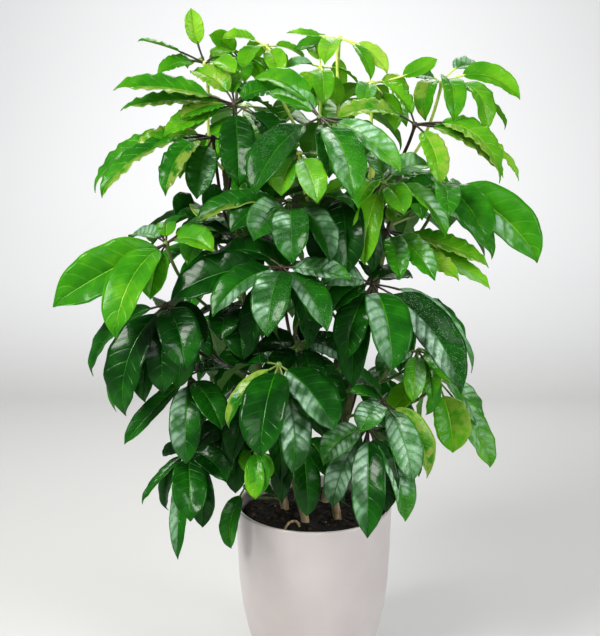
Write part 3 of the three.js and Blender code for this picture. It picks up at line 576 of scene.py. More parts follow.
def leaf_material(name, glow_colour, glow, roughness, under=False):
    """A blade's paint. The whole parts of its ribbon UV hold each leaflet's tone and its finish, and the
    rest holds the place across the blade, from -1 to 1, and along it, from 0 to 1, inside a thin edge."""
    material, tree, shader = new_material(name, roughness)
    split = tree.nodes.new("ShaderNodeSeparateXYZ")
    tree.links.new(tree.nodes.new("ShaderNodeUVMap").outputs[0], split.inputs[0])
    across = maths(tree, "SUBTRACT", maths(tree, "FRACT", split.outputs["X"]), 0.5)
    across = times(tree, across, 2 / RIBBON_LENGTH)
    along = maths(tree, "SUBTRACT", maths(tree, "FRACT", split.outputs["Y"]), RIBBON_EDGE)
    along = times(tree, along, 1 / RIBBON_LENGTH)
    tone = maths(tree, "DIVIDE", maths(tree, "FLOOR", split.outputs["X"]), TONE_STEPS)
    finish = maths(tree, "FLOOR", split.outputs["Y"])

    # The midrib narrows to the tip, and the side veins follow vein_phase
    away = maths(tree, "ABSOLUTE", across)
    rib_edge = maths(tree, "MULTIPLY_ADD", along, -0.045, 0.065)
    rib = maths(tree, "SUBTRACT", 1.0, fade(tree, maths(tree, "DIVIDE", away, rib_edge), 0.4, 1.1))
    left = times(tree, maths(tree, "LESS_THAN", across, 0.0), VEIN_STAGGER)
    curve = times(tree, maths(tree, "POWER", away, VEIN_CURVE), -VEIN_SWEEP)
    phase = maths(tree, "MULTIPLY_ADD", maths(tree, "ADD", along, curve), VEIN_PAIRS, left)
    near = maths(tree, "FRACT", maths(tree, "ADD", phase, 0.5))
    near = maths(tree, "ABSOLUTE", maths(tree, "SUBTRACT", near, 0.5))
    vein = maths(tree, "SUBTRACT", 1.0, fade(tree, near, 0.0, 0.14))
    vein = times(tree, vein, fade(tree, away, 1.0, 0.7))

    # Mottling, a lighter tip, and paler veins, midrib and margin
    for lighter in (
        fade(tree, noise(tree, 42, 3), 0.3, 0.7, -0.05, 0.05),
        fade(tree, noise(tree, 13, 2), 0.35, 0.65, -0.06, 0.06),
        fade(tree, along, 0.0, 1.0, -0.03, 0.03),
        times(tree, vein, 0.06),
        times(tree, rib, 0.24),
        times(tree, fade(tree, away, 0.955, 1.0), 0.1),
    ):
        tone = maths(tree, "ADD", tone, lighter)
    greens = tree.nodes.new("ShaderNodeValToRGB")
    for stop, (spot, colour) in enumerate(LEAF_GREENS):
        entry = greens.color_ramp.elements[stop] if stop < 2 else greens.color_ramp.elements.new(spot)
        entry.position, entry.color = spot, colour
    put(tree, greens.inputs[0], tone)
    tint = greens.outputs[0]

    if under:
        tint = blend_colours(tree, 0.4, tint, UNDERSIDE_COLOUR)
        put(tree, shader.inputs["Base Color"], tint)
        bump(tree, shader, maths(tree, "MAXIMUM", times(tree, vein, 0.5), rib), 0.0009)
    else:
        side = maths(tree, "MODULO", finish, 4)
        kind = maths(tree, "FLOOR", maths(tree, "DIVIDE", maths(tree, "MODULO", finish, 16), 4))
        is_wax_and_painted_sheen, is_painted_glint, is_olive = (
            maths(tree, "COMPARE", kind, FINISHES.index(word), 0.1) for word in ("wax", "shine", "olive"))
        on_left = times(tree, maths(tree, "MODULO", side, 2), fade(tree, across, 0.02, -0.08))
        on_right = times(tree, maths(tree, "GREATER_THAN", side, 1.5), fade(tree, across, -0.02, 0.08))
        half = maths(tree, "ADD", on_left, on_right)

        # Waxy bloom and painted sheen: soft pale bands between the veins, a painted reflection of the
        # windows, broken up, and fading to the tip and the margin. The stronger finish is a painted
        # highlight.
        between = maths(tree, "FRACT", phase)
        between = times(tree, fade(tree, between, 0.02, 0.42), fade(tree, between, 1.0, 0.84))
        painted_sheen = maths(tree, "MULTIPLY_ADD", between, 0.55, 0.45)
        painted_sheen = times(tree, painted_sheen, fade(tree, noise(tree, 150, 4), 0.38, 0.62, 0.74, 1.0))
        painted_sheen = times(tree, painted_sheen, fade(tree, noise(tree, 34, 2), 0.38, 0.6, 0.2, 1.0))
        painted_sheen = times(tree, painted_sheen, fade(tree, along, 1.0, 0.55, 0.15, 1.0))
        bright = times(tree, maths(tree, "POWER", painted_sheen, 1.6), 1.6)
        wax = maths(tree, "MULTIPLY_ADD", is_painted_glint, bright, times(tree, is_wax_and_painted_sheen, painted_sheen))
        wax = times(tree, wax, times(tree, half, fade(tree, away, 1.0, 0.85)))
        tint = blend_colours(tree, times(tree, wax, 0.7), tint, WAX_AND_PAINTED_SHEEN_COLOUR)

        # Olive blotches, thickest at the margin
        blotch = fade(tree, noise(tree, 55, 3), 0.38, 0.6)
        blotch = maths(tree, "MAXIMUM", blotch, fade(tree, away, 0.6, 0.95))
        olive = times(tree, times(tree, is_olive, blotch), 0.55)
        tint = blend_colours(tree, times(tree, olive, half), tint, OLIVE_COLOUR)

        # Dew: small domes in patches, with a bump, a lower roughness and a painted glint that lightens each
        # drop
        drops = tree.nodes.new("ShaderNodeTexVoronoi")
        drops.inputs["Scale"].default_value = 520
        spot = tree.nodes.new("ShaderNodeTexCoord")
        tree.links.new(spot.outputs["Object"], drops.inputs["Vector"])
        keep = tree.nodes.new("ShaderNodeSeparateColor")
        tree.links.new(drops.outputs["Color"], keep.inputs[0])
        patch = fade(tree, noise(tree, 30, 2), 0.4, 0.6, 0.75, 0.15)
        is_dewy = maths(tree, "GREATER_THAN", finish, 15.5)
        some = times(tree, maths(tree, "GREATER_THAN", keep.outputs[0], patch), is_dewy)
        dome = times(tree, fade(tree, drops.outputs["Distance"], 0.45, 0.15), some)
        tint = blend_colours(tree, times(tree, dome, 0.42), tint, DEW_PAINTED_GLINT_COLOUR)
        put(tree, shader.inputs["Base Color"], tint)

        dip = maths(tree, "MAXIMUM", times(tree, vein, 0.6), rib)
        folds = bump(tree, shader, maths(tree, "SUBTRACT", 1.0, dip), 0.0009)
        wrinkle = bump(tree, shader, noise(tree, 70, 3), 0.0014, folds)
        bump(tree, shader, dome, 0.0008, wrinkle)
        gloss = maths(tree, "MULTIPLY_ADD", wax, -0.06, roughness)
        put(tree, shader.inputs["Roughness"], maths(tree, "MULTIPLY_ADD", dome, -0.15, gloss))
        shader.inputs["Specular IOR Level"].default_value = 0.16
        shader.inputs["Coat Weight"].default_value = 0.2
        shader.inputs["Coat Roughness"].default_value = 0.12

    through = tree.nodes.new("ShaderNodeBsdfTranslucent")
    through.inputs["Color"].default_value = glow_colour
    both = tree.nodes.new("ShaderNodeMixShader")
    both.inputs["Fac"].default_value = glow
    output = tree.nodes["Material Output"]
    tree.links.new(shader.outputs[0], both.inputs[1])
    tree.links.new(through.outputs[0], both.inputs[2])
    tree.links.new(both.outputs[0], output.inputs["Surface"])
    return material


def stalk_material(name, colour, other):
    material, tree, shader = new_material(name, 0.42)
    mottle = fade(tree, noise(tree, 60, 3), 0.35, 0.65)
    put(tree, shader.inputs["Base Color"], blend_colours(tree, mottle, colour, other))
    bump(tree, shader, noise(tree, 300, 3, (1, 1, 0.25)), 0.0005)
    return material


# By age: the colour and the share of the light that shines through a blade, and its top's roughness
LEAF_AGES = {
    "young": ((0.45, 0.75, 0.03, 1), 0.38, 0.34),
    "fresh": ((0.25, 0.6, 0.02, 1), 0.3, 0.3),
    "grown": ((0.1, 0.35, 0.02, 1), 0.2, 0.28),
    "old": ((0.05, 0.22, 0.02, 1), 0.14, 0.27),
}
UNDER_ROUGHNESS = 0.5
LEAF_LOOKS = {
    age + "_leaf": (
        leaf_material(age + "_upper", glow_colour, glow, roughness),
        leaf_material(age + "_under", glow_colour, glow, UNDER_ROUGHNESS, under=True),
    )
    for age, (glow_colour, glow, roughness) in LEAF_AGES.items()
}
STALK_LOOKS = {
    "pale": stalk_material("pale_stalk", (0.52, 0.68, 0.10, 1), (0.68, 0.80, 0.24, 1)),
    "green": stalk_material("green_stalk", (0.10, 0.20, 0.03, 1), (0.16, 0.22, 0.05, 1)),
    "dark": stalk_material("dark_stalk", (0.030, 0.022, 0.014, 1), (0.055, 0.045, 0.02, 1)),
}

# Each leaf's cane, the height in millimetres that it grows from, its hub, the tone of its blades, and
# the looks of its leaflets' stalks and of its petiole
LEAVES = {
    "leaf_top_left": ("cane_left", 882, (-175, -10, 1050), 0.78, "dark", "pale"),
    "leaf_upper_left": ("cane_left", 842, (-125, -70, 985), 0.66, "dark", "dark"),
    "leaf_left_long": ("cane_left", 780, (-160, -60, 935), 0.64, "dark", "dark"),
    "leaf_top_mid_left": ("cane_front_left", 912, (-80, 40, 1080), 0.78, "pale", "pale"),
    "leaf_top_small": ("cane_left", 900, (-125, 70, 1060), 0.68, "dark", "green"),
    "leaf_crown": ("cane_front_left", 932, (40, 10, 1090), 0.8, "pale", "pale"),
    "leaf_crown_low": ("cane_front_left", 896, (10, 20, 1045), 0.8, "pale", "pale"),
    "leaf_crown_right": ("cane_front_right", 862, (90, -20, 1020), 0.74, "pale", "pale"),
    "leaf_front_top": ("cane_front_left", 850, (5, -150, 965), 0.54, "dark", "green"),
    "leaf_right_upper": ("cane_front_right", 838, (155, -60, 955), 0.8, "dark", "dark"),
    "leaf_right_top": ("cane_back", 885, (205, 10, 1020), 0.72, "pale", "pale"),
    "leaf_mid_left": ("cane_front_left", 700, (-40, -170, 845), 0.32, "dark", "green"),
    "leaf_left_dark": ("cane_left", 700, (-180, -60, 820), 0.3, "green", "green"),
    "leaf_small_bright": ("cane_front_left", 780, (-25, -200, 915), 0.74, "green", "pale"),
    "leaf_middle": ("cane_front_left", 745, (35, -120, 855), 0.22, "dark", "green"),
    "leaf_right_arched": ("cane_front_right", 765, (100, -150, 870), 0.64, "green", "green"),
    "leaf_right": ("cane_front_right", 670, (195, -110, 865), 0.5, "dark", "green"),
    "leaf_right_waved": ("cane_front_right", 650, (110, -110, 795), 0.66, "dark", "dark"),
    "leaf_left_bright": ("cane_left", 600, (-225, -150, 780), 0.62, "dark", "green"),
    "leaf_centre": ("cane_front_left", 590, (-50, -190, 750), 0.28, "dark", "dark"),
    "leaf_lower_left": ("cane_left", 520, (-225, -170, 690), 0.22, "dark", "dark"),
    "leaf_right_centre": ("cane_front_right", 560, (85, -160, 720), 0.28, "dark", "dark"),
    "leaf_right_low": ("cane_front_right", 500, (165, -90, 600), 0.54, "green", "green"),
    "leaf_right_backlit": ("cane_back", 440, (200, -50, 545), 0.66, "green", "green"),
    "leaf_right_lower": ("cane_front_right", 420, (105, -160, 535), 0.42, "dark", "dark"),
    "leaf_front_right": ("cane_front_right", 385, (80, -190, 505), 0.26, "dark", "dark"),
    "leaf_front_big": ("cane_front_left", 460, (-55, -220, 610), 0.28, "green", "green"),
    "leaf_front_inner": ("cane_front_left", 500, (-25, -130, 620), 0.2, "green", "green"),
    "leaf_front_young": ("cane_front_left", 370, (-95, -150, 460), 0.68, "green", "pale"),
    "leaf_left_low": ("cane_left", 418, (-195, -150, 575), 0.28, "dark", "dark"),
    "leaf_left_lowest": ("cane_left", 345, (-200, -140, 450), 0.22, "green", "green"),
    "leaf_over_rim": ("cane_left", 308, (-115, -60, 360), 0.4, "green", "green"),
    "leaf_inner_left": ("cane_left", 560, (-130, -120, 680), 0.14, "dark", "dark"),
    "leaf_inner_high": ("cane_left", 650, (-125, -60, 785), 0.16, "green", "green"),
    "leaf_inner_low": ("cane_front_left", 400, (-80, -110, 535), 0.22, "dark", "green"),
    "leaf_low_centre": ("cane_front_left", 330, (-25, -110, 465), 0.26, "green", "green"),
    "leaf_low_left": ("cane_left", 382, (-140, -90, 475), 0.2, "dark", "dark"),
    "leaf_back_top_left": ("cane_left", 866, (-120, 130, 985), 0.62, "green", "pale"),
    "leaf_back_top": ("cane_front_left", 876, (40, 150, 1000), 0.66, "green", "pale"),
    "leaf_back_top_right": ("cane_back", 800, (150, 190, 880), 0.52, "green", "green"),
    "leaf_back_left": ("cane_left", 760, (-150, 110, 800), 0.42, "dark", "green"),
    "leaf_back_mid_left": ("cane_front_left", 760, (-50, 210, 880), 0.5, "green", "green"),
    "leaf_back_right": ("cane_back", 780, (200, 130, 820), 0.45, "dark", "green"),
    "leaf_back_mid_right": ("cane_back", 690, (110, 240, 790), 0.38, "dark", "green"),
    "leaf_back_low_left": ("cane_left", 640, (-180, 190, 740), 0.36, "dark", "green"),
    "leaf_back_centre": ("cane_back", 560, (20, 240, 650), 0.34, "dark", "dark"),
    "leaf_back_low_right": ("cane_back", 600, (160, 150, 640), 0.3, "dark", "dark"),
    "leaf_back_side": ("cane_left", 500, (-220, 90, 620), 0.3, "dark", "dark"),
    "leaf_back_lower": ("cane_left", 440, (-110, 200, 550), 0.28, "dark", "dark"),
    "leaf_back_lowest": ("cane_back", 390, (90, 210, 490), 0.24, "dark", "dark"),
}
# How far a petiole's solid may bow to one side, as a share of its reach
PETIOLE_BOWS = [0, 0.06, -0.06, 0.12, -0.12, 0.18, -0.18, 0.25, -0.25, 0.33, -0.33]
PETIOLE_RADIUS = 0.0026

# Single leaflets that differ from the rest of their leaf: the tip's place from the hub in millimetres,
# known again within STANDOUT_REACH, the tone of the blade and its finish
STANDOUT_REACH = 26
STANDOUTS = {
    "leaf_top_left": [((-20, 0, 85), 0.88, ""), ((-100, -30, 35), 0.46, ""), ((-70, -40, -20), 0.52, "")],
    "leaf_upper_left": [
        ((-170, -40, -5), 0.6, "olive lower"), ((-175, -60, 25), 0.58, "olive lower"),
        ((-115, -55, -25), 0.57, "olive lower"), ((-70, 60, 60), 0.72, "olive both"),
        ((-25, 90, 60), 0.74, ""), ((40, 90, 40), 0.5, ""), ((70, 70, 5), 0.42, ""),
        ((10, -80, -120), 0.3, ""), ((80, -40, -110), 0.22, ""),
    ],
    "leaf_left_long": [
        ((-190, -20, -80), 0.5, "olive lower"), ((-165, -70, -95), 0.5, "olive lower"),
        ((-75, -90, -85), 0.46, "olive right"), ((-20, -70, -90), 0.34, "wax right"),
        ((100, 84, -91), 0.2, ""), ((121, -78, -72), 0.22, ""),
    ],
    "leaf_top_mid_left": [((25, -60, -50), 0.8, ""), ((-35, -60, -40), 0.7, "")],
    "leaf_crown": [
        ((-85, -10, 9), 0.74, ""), ((-70, 50, -15), 0.56, ""), ((75, -30, -55), 0.95, "olive both"),
        ((48, -45, -66), 0.66, ""),
    ],
    "leaf_crown_low": [
        ((-35, -60, -65), 0.76, ""), ((0, -70, -65), 0.76, ""), ((-55, -20, 0), 0.56, "wax both"),
    ],
    "leaf_crown_right": [
        ((35, -40, -75), 0.7, ""), ((60, 0, -15), 0.74, "olive both"), ((-15, -50, -35), 0.6, "shine both"),
    ],
    "leaf_front_top": [
        ((45, -100, -110), 0.48, "shine left dew"), ((-95, -80, -105), 0.27, "dew"),
        ((115, -60, -75), 0.56, "shine both dew"), ((-100, 90, 60), 0.6, ""), ((20, -60, -85), 0.34, "dew"),
        ((108, 27, -79), 0.5, "wax both"),
    ],
    "leaf_right_upper": [
        ((-125, -60, 10), 0.6, "olive both"), ((133, -30, -88), 0.74, "olive lower"),
        ((172, 15, -86), 0.78, ""), ((40, -50, -85), 0.76, "olive right"), ((-65, 40, 55), 0.78, ""),
    ],
    "leaf_right_top": [
        ((-32, -50, -60), 0.6, "olive left"), ((5, -80, -65), 0.64, ""), ((62, -50, -78), 0.7, ""),
        ((85, 50, 5), 0.4, "wax both"), ((-60, -20, 10), 0.5, "wax both"), ((115, 30, -70), 0.56, ""),
        ((130, 10, -25), 0.68, ""),
    ],
    "leaf_mid_left": [
        ((5, -90, -80), 0.32, "shine left dew"), ((-50, -60, -50), 0.4, "wax left dew"),
        ((-140, 10, -30), 0.36, "olive lower"), ((60, -50, -85), 0.22, "wax right"),
    ],
    "leaf_left_dark": [((12, -94, -8), 0.56, "olive left")],
    "leaf_small_bright": [((25, -60, -65), 0.74, "wax left dew"), ((-30, -50, -50), 0.66, "dew")],
    "leaf_right_arched": [
        ((90, -40, -75), 0.6, "shine upper"), ((25, -60, -40), 0.6, ""), ((80, 60, 20), 0.58, "wax both"),
        ((-10, 60, 45), 0.5, "shine both dew"),
    ],
    "leaf_right": [
        ((145, -30, -115), 0.54, "shine lower"), ((55, -70, -80), 0.48, ""), ((-50, -50, -30), 0.46, ""),
    ],
    "leaf_right_waved": [
        ((105, -60, -65), 0.7, "olive both"), ((155, -30, -50), 0.68, "olive lower"),
        ((160, -25, -84), 0.74, "wax lower"), ((65, -80, -65), 0.62, "shine upper"),
        ((20, -70, -75), 0.56, "shine right"), ((30, 50, 35), 0.74, "olive both"),
    ],
    "leaf_left_bright": [
        ((-170, -30, -90), 0.62, ""), ((-65, -100, -125), 0.57, ""), ((-65, 60, 0), 0.46, "wax both"),
        ((75, -50, -5), 0.68, ""),
    ],
    "leaf_centre": [
        ((-20, -90, -85), 0.38, "shine left dew"), ((-100, -50, -65), 0.3, "wax lower"),
        ((65, -60, -85), 0.38, "wax left dew"), ((-170, 0, -50), 0.12, ""), ((-125, 70, -5), 0.16, ""),
        ((-50, -30, -120), 0.1, ""), ((100, -45, -10), 0.42, "shine both dew"),
    ],
    "leaf_lower_left": [
        ((-85, -10, -165), 0.46, ""), ((-125, 20, -115), 0.3, ""), ((-60, -50, -160), 0.2, ""),
    ],
    "leaf_right_centre": [
        ((24, -100, -110), 0.31, "wax left"), ((130, -60, -155), 0.26, "shine left dew"),
        ((165, 30, -145), 0.42, "wax both"), ((-40, -50, -105), 0.26, ""),
        ((-80, -40, 5), 0.38, "wax both dew"),
    ],
    "leaf_right_low": [
        ((-15, -70, -65), 0.66, "wax right dew"), ((-55, 30, -70), 0.5, "olive both"),
        ((15, -60, -60), 0.64, "shine left"),
    ],
    "leaf_right_backlit": [
        ((98, -10, -152), 0.62, "shine both dew"), ((24, -50, -112), 0.68, "olive right"),
    ],
    "leaf_right_lower": [
        ((40, -60, -108), 0.34, "wax both dew"), ((70, -10, -120), 0.54, "olive both"),
        ((-40, -70, -25), 0.4, "shine both dew"),
    ],
    "leaf_front_right": [
        ((-5, -80, -145), 0.2, "wax left"), ((-55, -35, -115), 0.3, "wax both"),
        ((56, -30, -140), 0.46, "shine both dew"), ((-70, -30, -50), 0.42, "shine both dew"),
        ((-22, -50, -150), 0.3, "shine left"), ((-35, 5, -130), 0.14, ""),
    ],
    "leaf_front_big": [
        ((-25, -80, -115), 0.27, ""), ((80, -50, -85), 0.26, "wax lower"),
        ((20, -50, -155), 0.36, "shine both"), ((-76, -30, -88), 0.5, "olive left"),
    ],
    "leaf_front_inner": [((-34, 80, -66), 0.7, "")],
    "leaf_left_low": [((-100, -30, -100), 0.34, ""), ((0, -70, -120), 0.28, "wax left")],
    "leaf_left_lowest": [((-12, -75, -150), 0.28, "wax left"), ((-75, -20, -80), 0.3, "")],
}
# More leaflets that the photographed plant shows between the others: the tip's place from the hub, the
# width, both in millimetres, the tone and the finish
MORE_LEAFLETS = {
    "leaf_right_arched": [((-30, -45, -117), 42, 0.78, "")],
    "leaf_crown_low": [((-15, -55, -70), 40, 0.76, "")],
    "leaf_front_top": [((-77, 40, 36), 44, 0.56, "wax right")],
    "leaf_left_long": [((-124, -40, -36), 40, 0.56, "olive left")],
    "leaf_right_upper": [((138, -22, -80), 34, 0.74, "olive lower")],
    "leaf_lower_left": [((-2, -45, -127), 52, 0.18, "")],
    "leaf_low_left": [((13, -40, -101), 38, 0.18, "")],
    "leaf_right_backlit": [((78, 10, -96), 50, 0.42, "shine both dew")],
    "leaf_right_low": [((-70, -40, -24), 40, 0.36, "wax both dew")],
    "leaf_front_inner": [((73, -35, -19), 44, 0.26, "wax left dew")],
    "leaf_front_right": [((26, -45, -120), 46, 0.14, "")],
    "leaf_right_centre": [((-29, -30, -153), 50, 0.2, "")],
    "leaf_upper_left": [((78, 10, 20), 40, 0.5, ""), ((-81, -30, -20), 40, 0.58, "olive left")],
    "leaf_top_small": [((39, -50, -41), 34, 0.62, "")],
    "leaf_front_young": [((8, -35, -67), 36, 0.58, "")],
    "leaf_mid_left": [((-85, -30, -42), 50, 0.26, "")],
}
# How high the fine frills of a leaf's margins stand, in metres, where they show
FRILLS = {
    "leaf_upper_left": 0.0016, "leaf_left_long": 0.0018, "leaf_right_upper": 0.0015,
    "leaf_right_waved": 0.0015, "leaf_right_top": 0.0006, "leaf_top_left": 0.0008,
    "leaf_back_top_right": 0.0012,
}


def behind(ring, ahead):
    """The ring one station nearer to the hub: left margin, top, right margin, underside."""
    known = set(ring) | set(ahead)
    others = [[e.other_vert(c) for e in c.link_edges if e.other_vert(c) not in known] for c in ring]
    left, right = others[0][0], others[2][0]
    top = next(v for v in others[1] if v not in (left, right))
    under = next(v for v in others[3] if v not in (left, right))
    return [left, top, right, under]


SOLID_THICKNESS = 0.0022
BLADE_BASE_WIDTH = 0.005


def leaflets_of(node):
    """Each leaflet of a leaf's solid, as its rings from the base of its blade outward and its tip. A tip
    is a point where four faces meet, and the rings before it have four corners each."""
    solid = bmesh.new()
    solid.from_mesh(node.data)
    bmesh.ops.remove_doubles(solid, verts=solid.verts, dist=1e-5)
    found = []
    for tip in solid.verts:
        if len(tip.link_faces) != 4:
            continue
        onward = {}
        for face in tip.link_faces:
            corners = list(face.verts)
            k = corners.index(tip)
            onward[corners[(k + 1) % 3]] = corners[(k + 2) % 3]
        ring = [next(iter(onward))]
        while len(ring) < 4:
            ring.append(onward[ring[-1]])
        if len(ring[0].link_edges) == 6:
            ring = ring[1:] + ring[:1]
        if [len(v.link_edges) for v in ring] != [4, 6, 4, 6]:
            continue
        if abs((ring[1].co - ring[3].co).length - SOLID_THICKNESS) > 5e-5:
            continue
        rings, ahead = [ring], [tip]
        while (ring[0].co - ring[2].co).length > BLADE_BASE_WIDTH:
            ring, ahead = behind(ring, ahead), ring
            rings.insert(0, ring)
        shape = np.array([[v.co for v in ring] for ring in rings])
        lift = ((shape[:, 0] + shape[:, 2] - shape[:, 1] - shape[:, 3]) * (shape[:, 1] - shape[:, 3])).sum()
        if lift < 0:
            shape = shape[:, [2, 3, 0, 1]]
        found.append((shape, np.array(tip.co)))
    points = np.array([v.co for v in solid.verts])
    solid.free()
    return found, points


def unit(vectors):
    return vectors / np.linalg.norm(vectors, axis=-1, keepdims=True)


def form_of(hub, shape, tip):
    """How a leaflet's solid runs: the way to its tip, its arch, the way across it, its half width, the
    share of it that is stalk, and how high its two margins are lifted at stations along the blade."""
    reach = tip - hub
    long = np.linalg.norm(reach)
    chord = reach / long
    middles = (shape[:, 1] + shape[:, 3]) / 2
    shares = (middles - hub) @ chord / long
    arches = (middles - hub - shares[:, None] * reach) / (2 * shares * (1 - shares))[:, None]
    arch = arches[1:].mean(0)
    tops = unit(shape[:, 1] - shape[:, 3])
    headings = unit(reach + 2 * (1 - 2 * shares)[:, None] * arch)
    across = unit(np.cross(headings, tops).mean(0))
    halves = np.einsum("ij,ij->i", shape[:, 2] - shape[:, 0], np.cross(headings, tops)) / 2
    lifts = np.einsum("ikj,ij->ik", shape[:, [0, 2]] - middles[:, None], tops)
    stations = np.append((shares - shares[0]) / (1 - shares[0]), 1)
    return reach, arch, across, halves.max(), shares[0], stations, np.append(lifts, [[0, 0]], axis=0)


FREE_STATIONS = np.array((0, 0.18, 0.6, 0.89, 1))
FREE_LIFTS = np.array([(0, 0), (0.84, 0.84), (1, 1), (0.46, 0.46), (0, 0)])
FREE_STALK = 0.15


def free_form(reach, width, chance):
    """The same for a leaflet that has no solid, from the tip's place and the width."""
    reach = np.array(reach) / 1000
    half = width / 2000
    long = np.linalg.norm(reach)
    chord = reach / long
    rise = np.array((0, 0, 1)) + 0.3 * chord * (1, 1, 0)
    rise = unit(rise - rise @ chord * chord)
    across = unit(np.cross(chord, rise + np.array((0, -0.9, 0))))
    arch = 2 * chance.uniform(0.09, 0.17) * long * rise
    lift = half * math.sin(math.radians(chance.uniform(12, 24)))
    return reach, arch, across, half, FREE_STALK, FREE_STATIONS, lift * FREE_LIFTS


BLADE_HALF_THICKNESS = 0.00032
LEAFLET_STALK_RADIUS = 0.00155
# Places along a leaflet's own stalk, the last one within its blade, where the stalk ends thin
STALK_STATIONS = (0.0, 0.12, 0.3, 0.55, 0.8, 1.0, 1.16)


def leaflet_mesh(hub, form, blade_points, frills, quilting, chance):
    """A copy of the flat blade bent along one leaflet's form, and its own stalk as tube rings."""
    reach, arch, across, half, stalk, stations, lifts = form
    long = np.linalg.norm(reach)

    def at(along):
        t = stalk + (1 - stalk) * along
        place = hub + t[:, None] * reach + (2 * t * (1 - t))[:, None] * arch
        heading = unit(reach + 2 * (1 - 2 * t)[:, None] * arch)
        top = unit(np.cross(across, heading))
        return place, heading, top, np.cross(heading, top)

    # v runs across the blade from -1 to 1, s along it from 0 to 1, and layer is its top or underside
    v, s, layer = blade_points.T
    outline = np.interp(s ** chance.uniform(0.92, 1.1), *zip(*BLADE_OUTLINE))
    place, heading, top, right = at(s)
    side = np.where(v < 0, 0, 1)
    smooth = [np.interp(s, stations, lifts[:, k]) for k in (0, 1)]
    lift = np.where(side == 0, smooth[0], smooth[1])
    away = np.abs(v)
    gull = 1.28 * away - 0.28 * away ** 2
    ripple = chance.uniform(0.012, 0.03) * half * 2
    waves = chance.uniform(3.2, 4.6)
    turn = chance.random()
    frill = ripple * np.sin(2 * np.pi * (waves * s + turn + 0.3 * side))
    frill = frill * away ** 2.2 * np.sin(np.pi * s) ** 0.5
    beat = chance.uniform(5.5, 7.5)
    small = np.sin(2 * np.pi * (beat * s + turn + 0.37 * side))
    small = small + 0.6 * np.sin(2 * np.pi * (1.63 * beat * s + 3 * turn + side))
    frill = frill + frills * small * away ** 2.5 * np.sin(np.pi * s) ** 0.4
    quilt = np.sin(np.pi * vein_phase(s, v)) ** 2 * np.clip(4 * away * (1 - away), 0, 1)
    quilt = quilt * np.sin(np.pi * s) ** 0.6
    rise = lift * gull + frill + quilting * half * quilt - 0.0005 * np.exp(-(away / 0.06) ** 2)
    curl = chance.uniform(0.0, 0.05) * long * np.clip((s - 0.88) / 0.12, 0, 1) ** 2
    thick = BLADE_HALF_THICKNESS * (1 - 0.55 * away ** 2)
    lateral = v * outline * half
    points = place + lateral[:, None] * right + (rise - curl + layer * thick)[:, None] * top
    stem = []
    for t in STALK_STATIONS:
        u = np.array([(stalk * t - stalk) / (1 - stalk)])
        spot, way, _, _ = at(u)
        swell = 0.0011 * math.exp(-(t / 0.16) ** 2) + 0.0003 * math.exp(-((t - 1) / 0.2) ** 2)
        radius = (LEAFLET_STALK_RADIUS + swell) * (0.55 if t > 1 else 1)
        stem.append((Vector(spot[0]), Vector(way[0]), radius))
    return points, stem


def finish_number(words, across):
    """The number that holds a leaflet's finish, the half of the blade that it lies on, and dew."""
    words = words.split()
    kind = max([FINISHES.index(word) for word in words if word in FINISHES], default=0)
    half = 3
    for word in words:
        if word in PICTURE_SIDES:
            half = 2 if across @ PICTURE_SIDES[word] > 0 else 1
    return 16 * ("dew" in words) + 4 * kind + half


def cane_share(line, height):
    """How far along a cane its middle line reaches a height."""
    low, high = 0.0, 1.0
    for _ in range(30):
        middle = (low + high) / 2
        low, high = (middle, high) if cane_point(line, middle)[0].z < height else (low, middle)
    return low


def petiole_line(cane, height, hub, points):
    """The petiole's curve, with the sideways bow that its solid has."""
    start = cane_point(CANES[cane], cane_share(CANES[cane], height / 1000))[0]
    end = Vector(hub) / 1000
    out = Vector((end.x - start.x, end.y - start.y, 0)).normalized()
    side = out.cross(Vector((0, 0, 1)))
    reach = (end - start).length
    best = None
    for bow in PETIOLE_BOWS:
        first = start + 0.32 * reach * out + Vector((0, 0, 0.16 * reach)) + bow * reach * side
        second = end - 0.1 * reach * out - Vector((0, 0, 0.3 * reach)) + bow * reach * side
        middle = (start + 3 * first + 3 * second + end) / 8
        gap = abs(np.linalg.norm(points - np.array(middle), axis=1).min() - PETIOLE_RADIUS)
        if best is None or gap < best[0]:
            best = (gap, first, second)
    return start, best[1], best[2], end


def curve_at(line, t):
    a, b, c, d = line
    place = (1 - t) ** 3 * a + 3 * t * (1 - t) ** 2 * b + 3 * t * t * (1 - t) * c + t ** 3 * d
    heading = (1 - t) ** 2 * (b - a) + 2 * t * (1 - t) * (c - b) + t * t * (d - c)
    return place, heading.normalized()


def add(body, new_points, new_faces, new_slots, new_uv):
    """Joins more faces to a leaf's body, which is its points, faces, material slots and ribbon UVs."""
    points, faces, slots, ribbons = body
    base = len(points)
    points.extend(np.asarray(new_points).tolist())
    faces.extend(tuple(base + k for k in face) for face in new_faces)
    slots.extend(new_slots)
    ribbons.extend(new_uv)


def add_stalk(body, rings, sides, slot):
    """Joins a stalk to a leaf's body, as a tube through its rings. A stalk's paint reads no ribbon UV."""
    stalk_points, stalk_faces = tube(rings, sides)
    add(body, stalk_points, stalk_faces, [slot] * len(stalk_faces), [(0.5, 0.5)] * sum(map(len, stalk_faces)))


PETIOLE_STEPS = 32
PLAIN_FRILL = 0.0003
# A leaf with frills above this gets the blade with more rows
HIGH_FRILL = 0.001
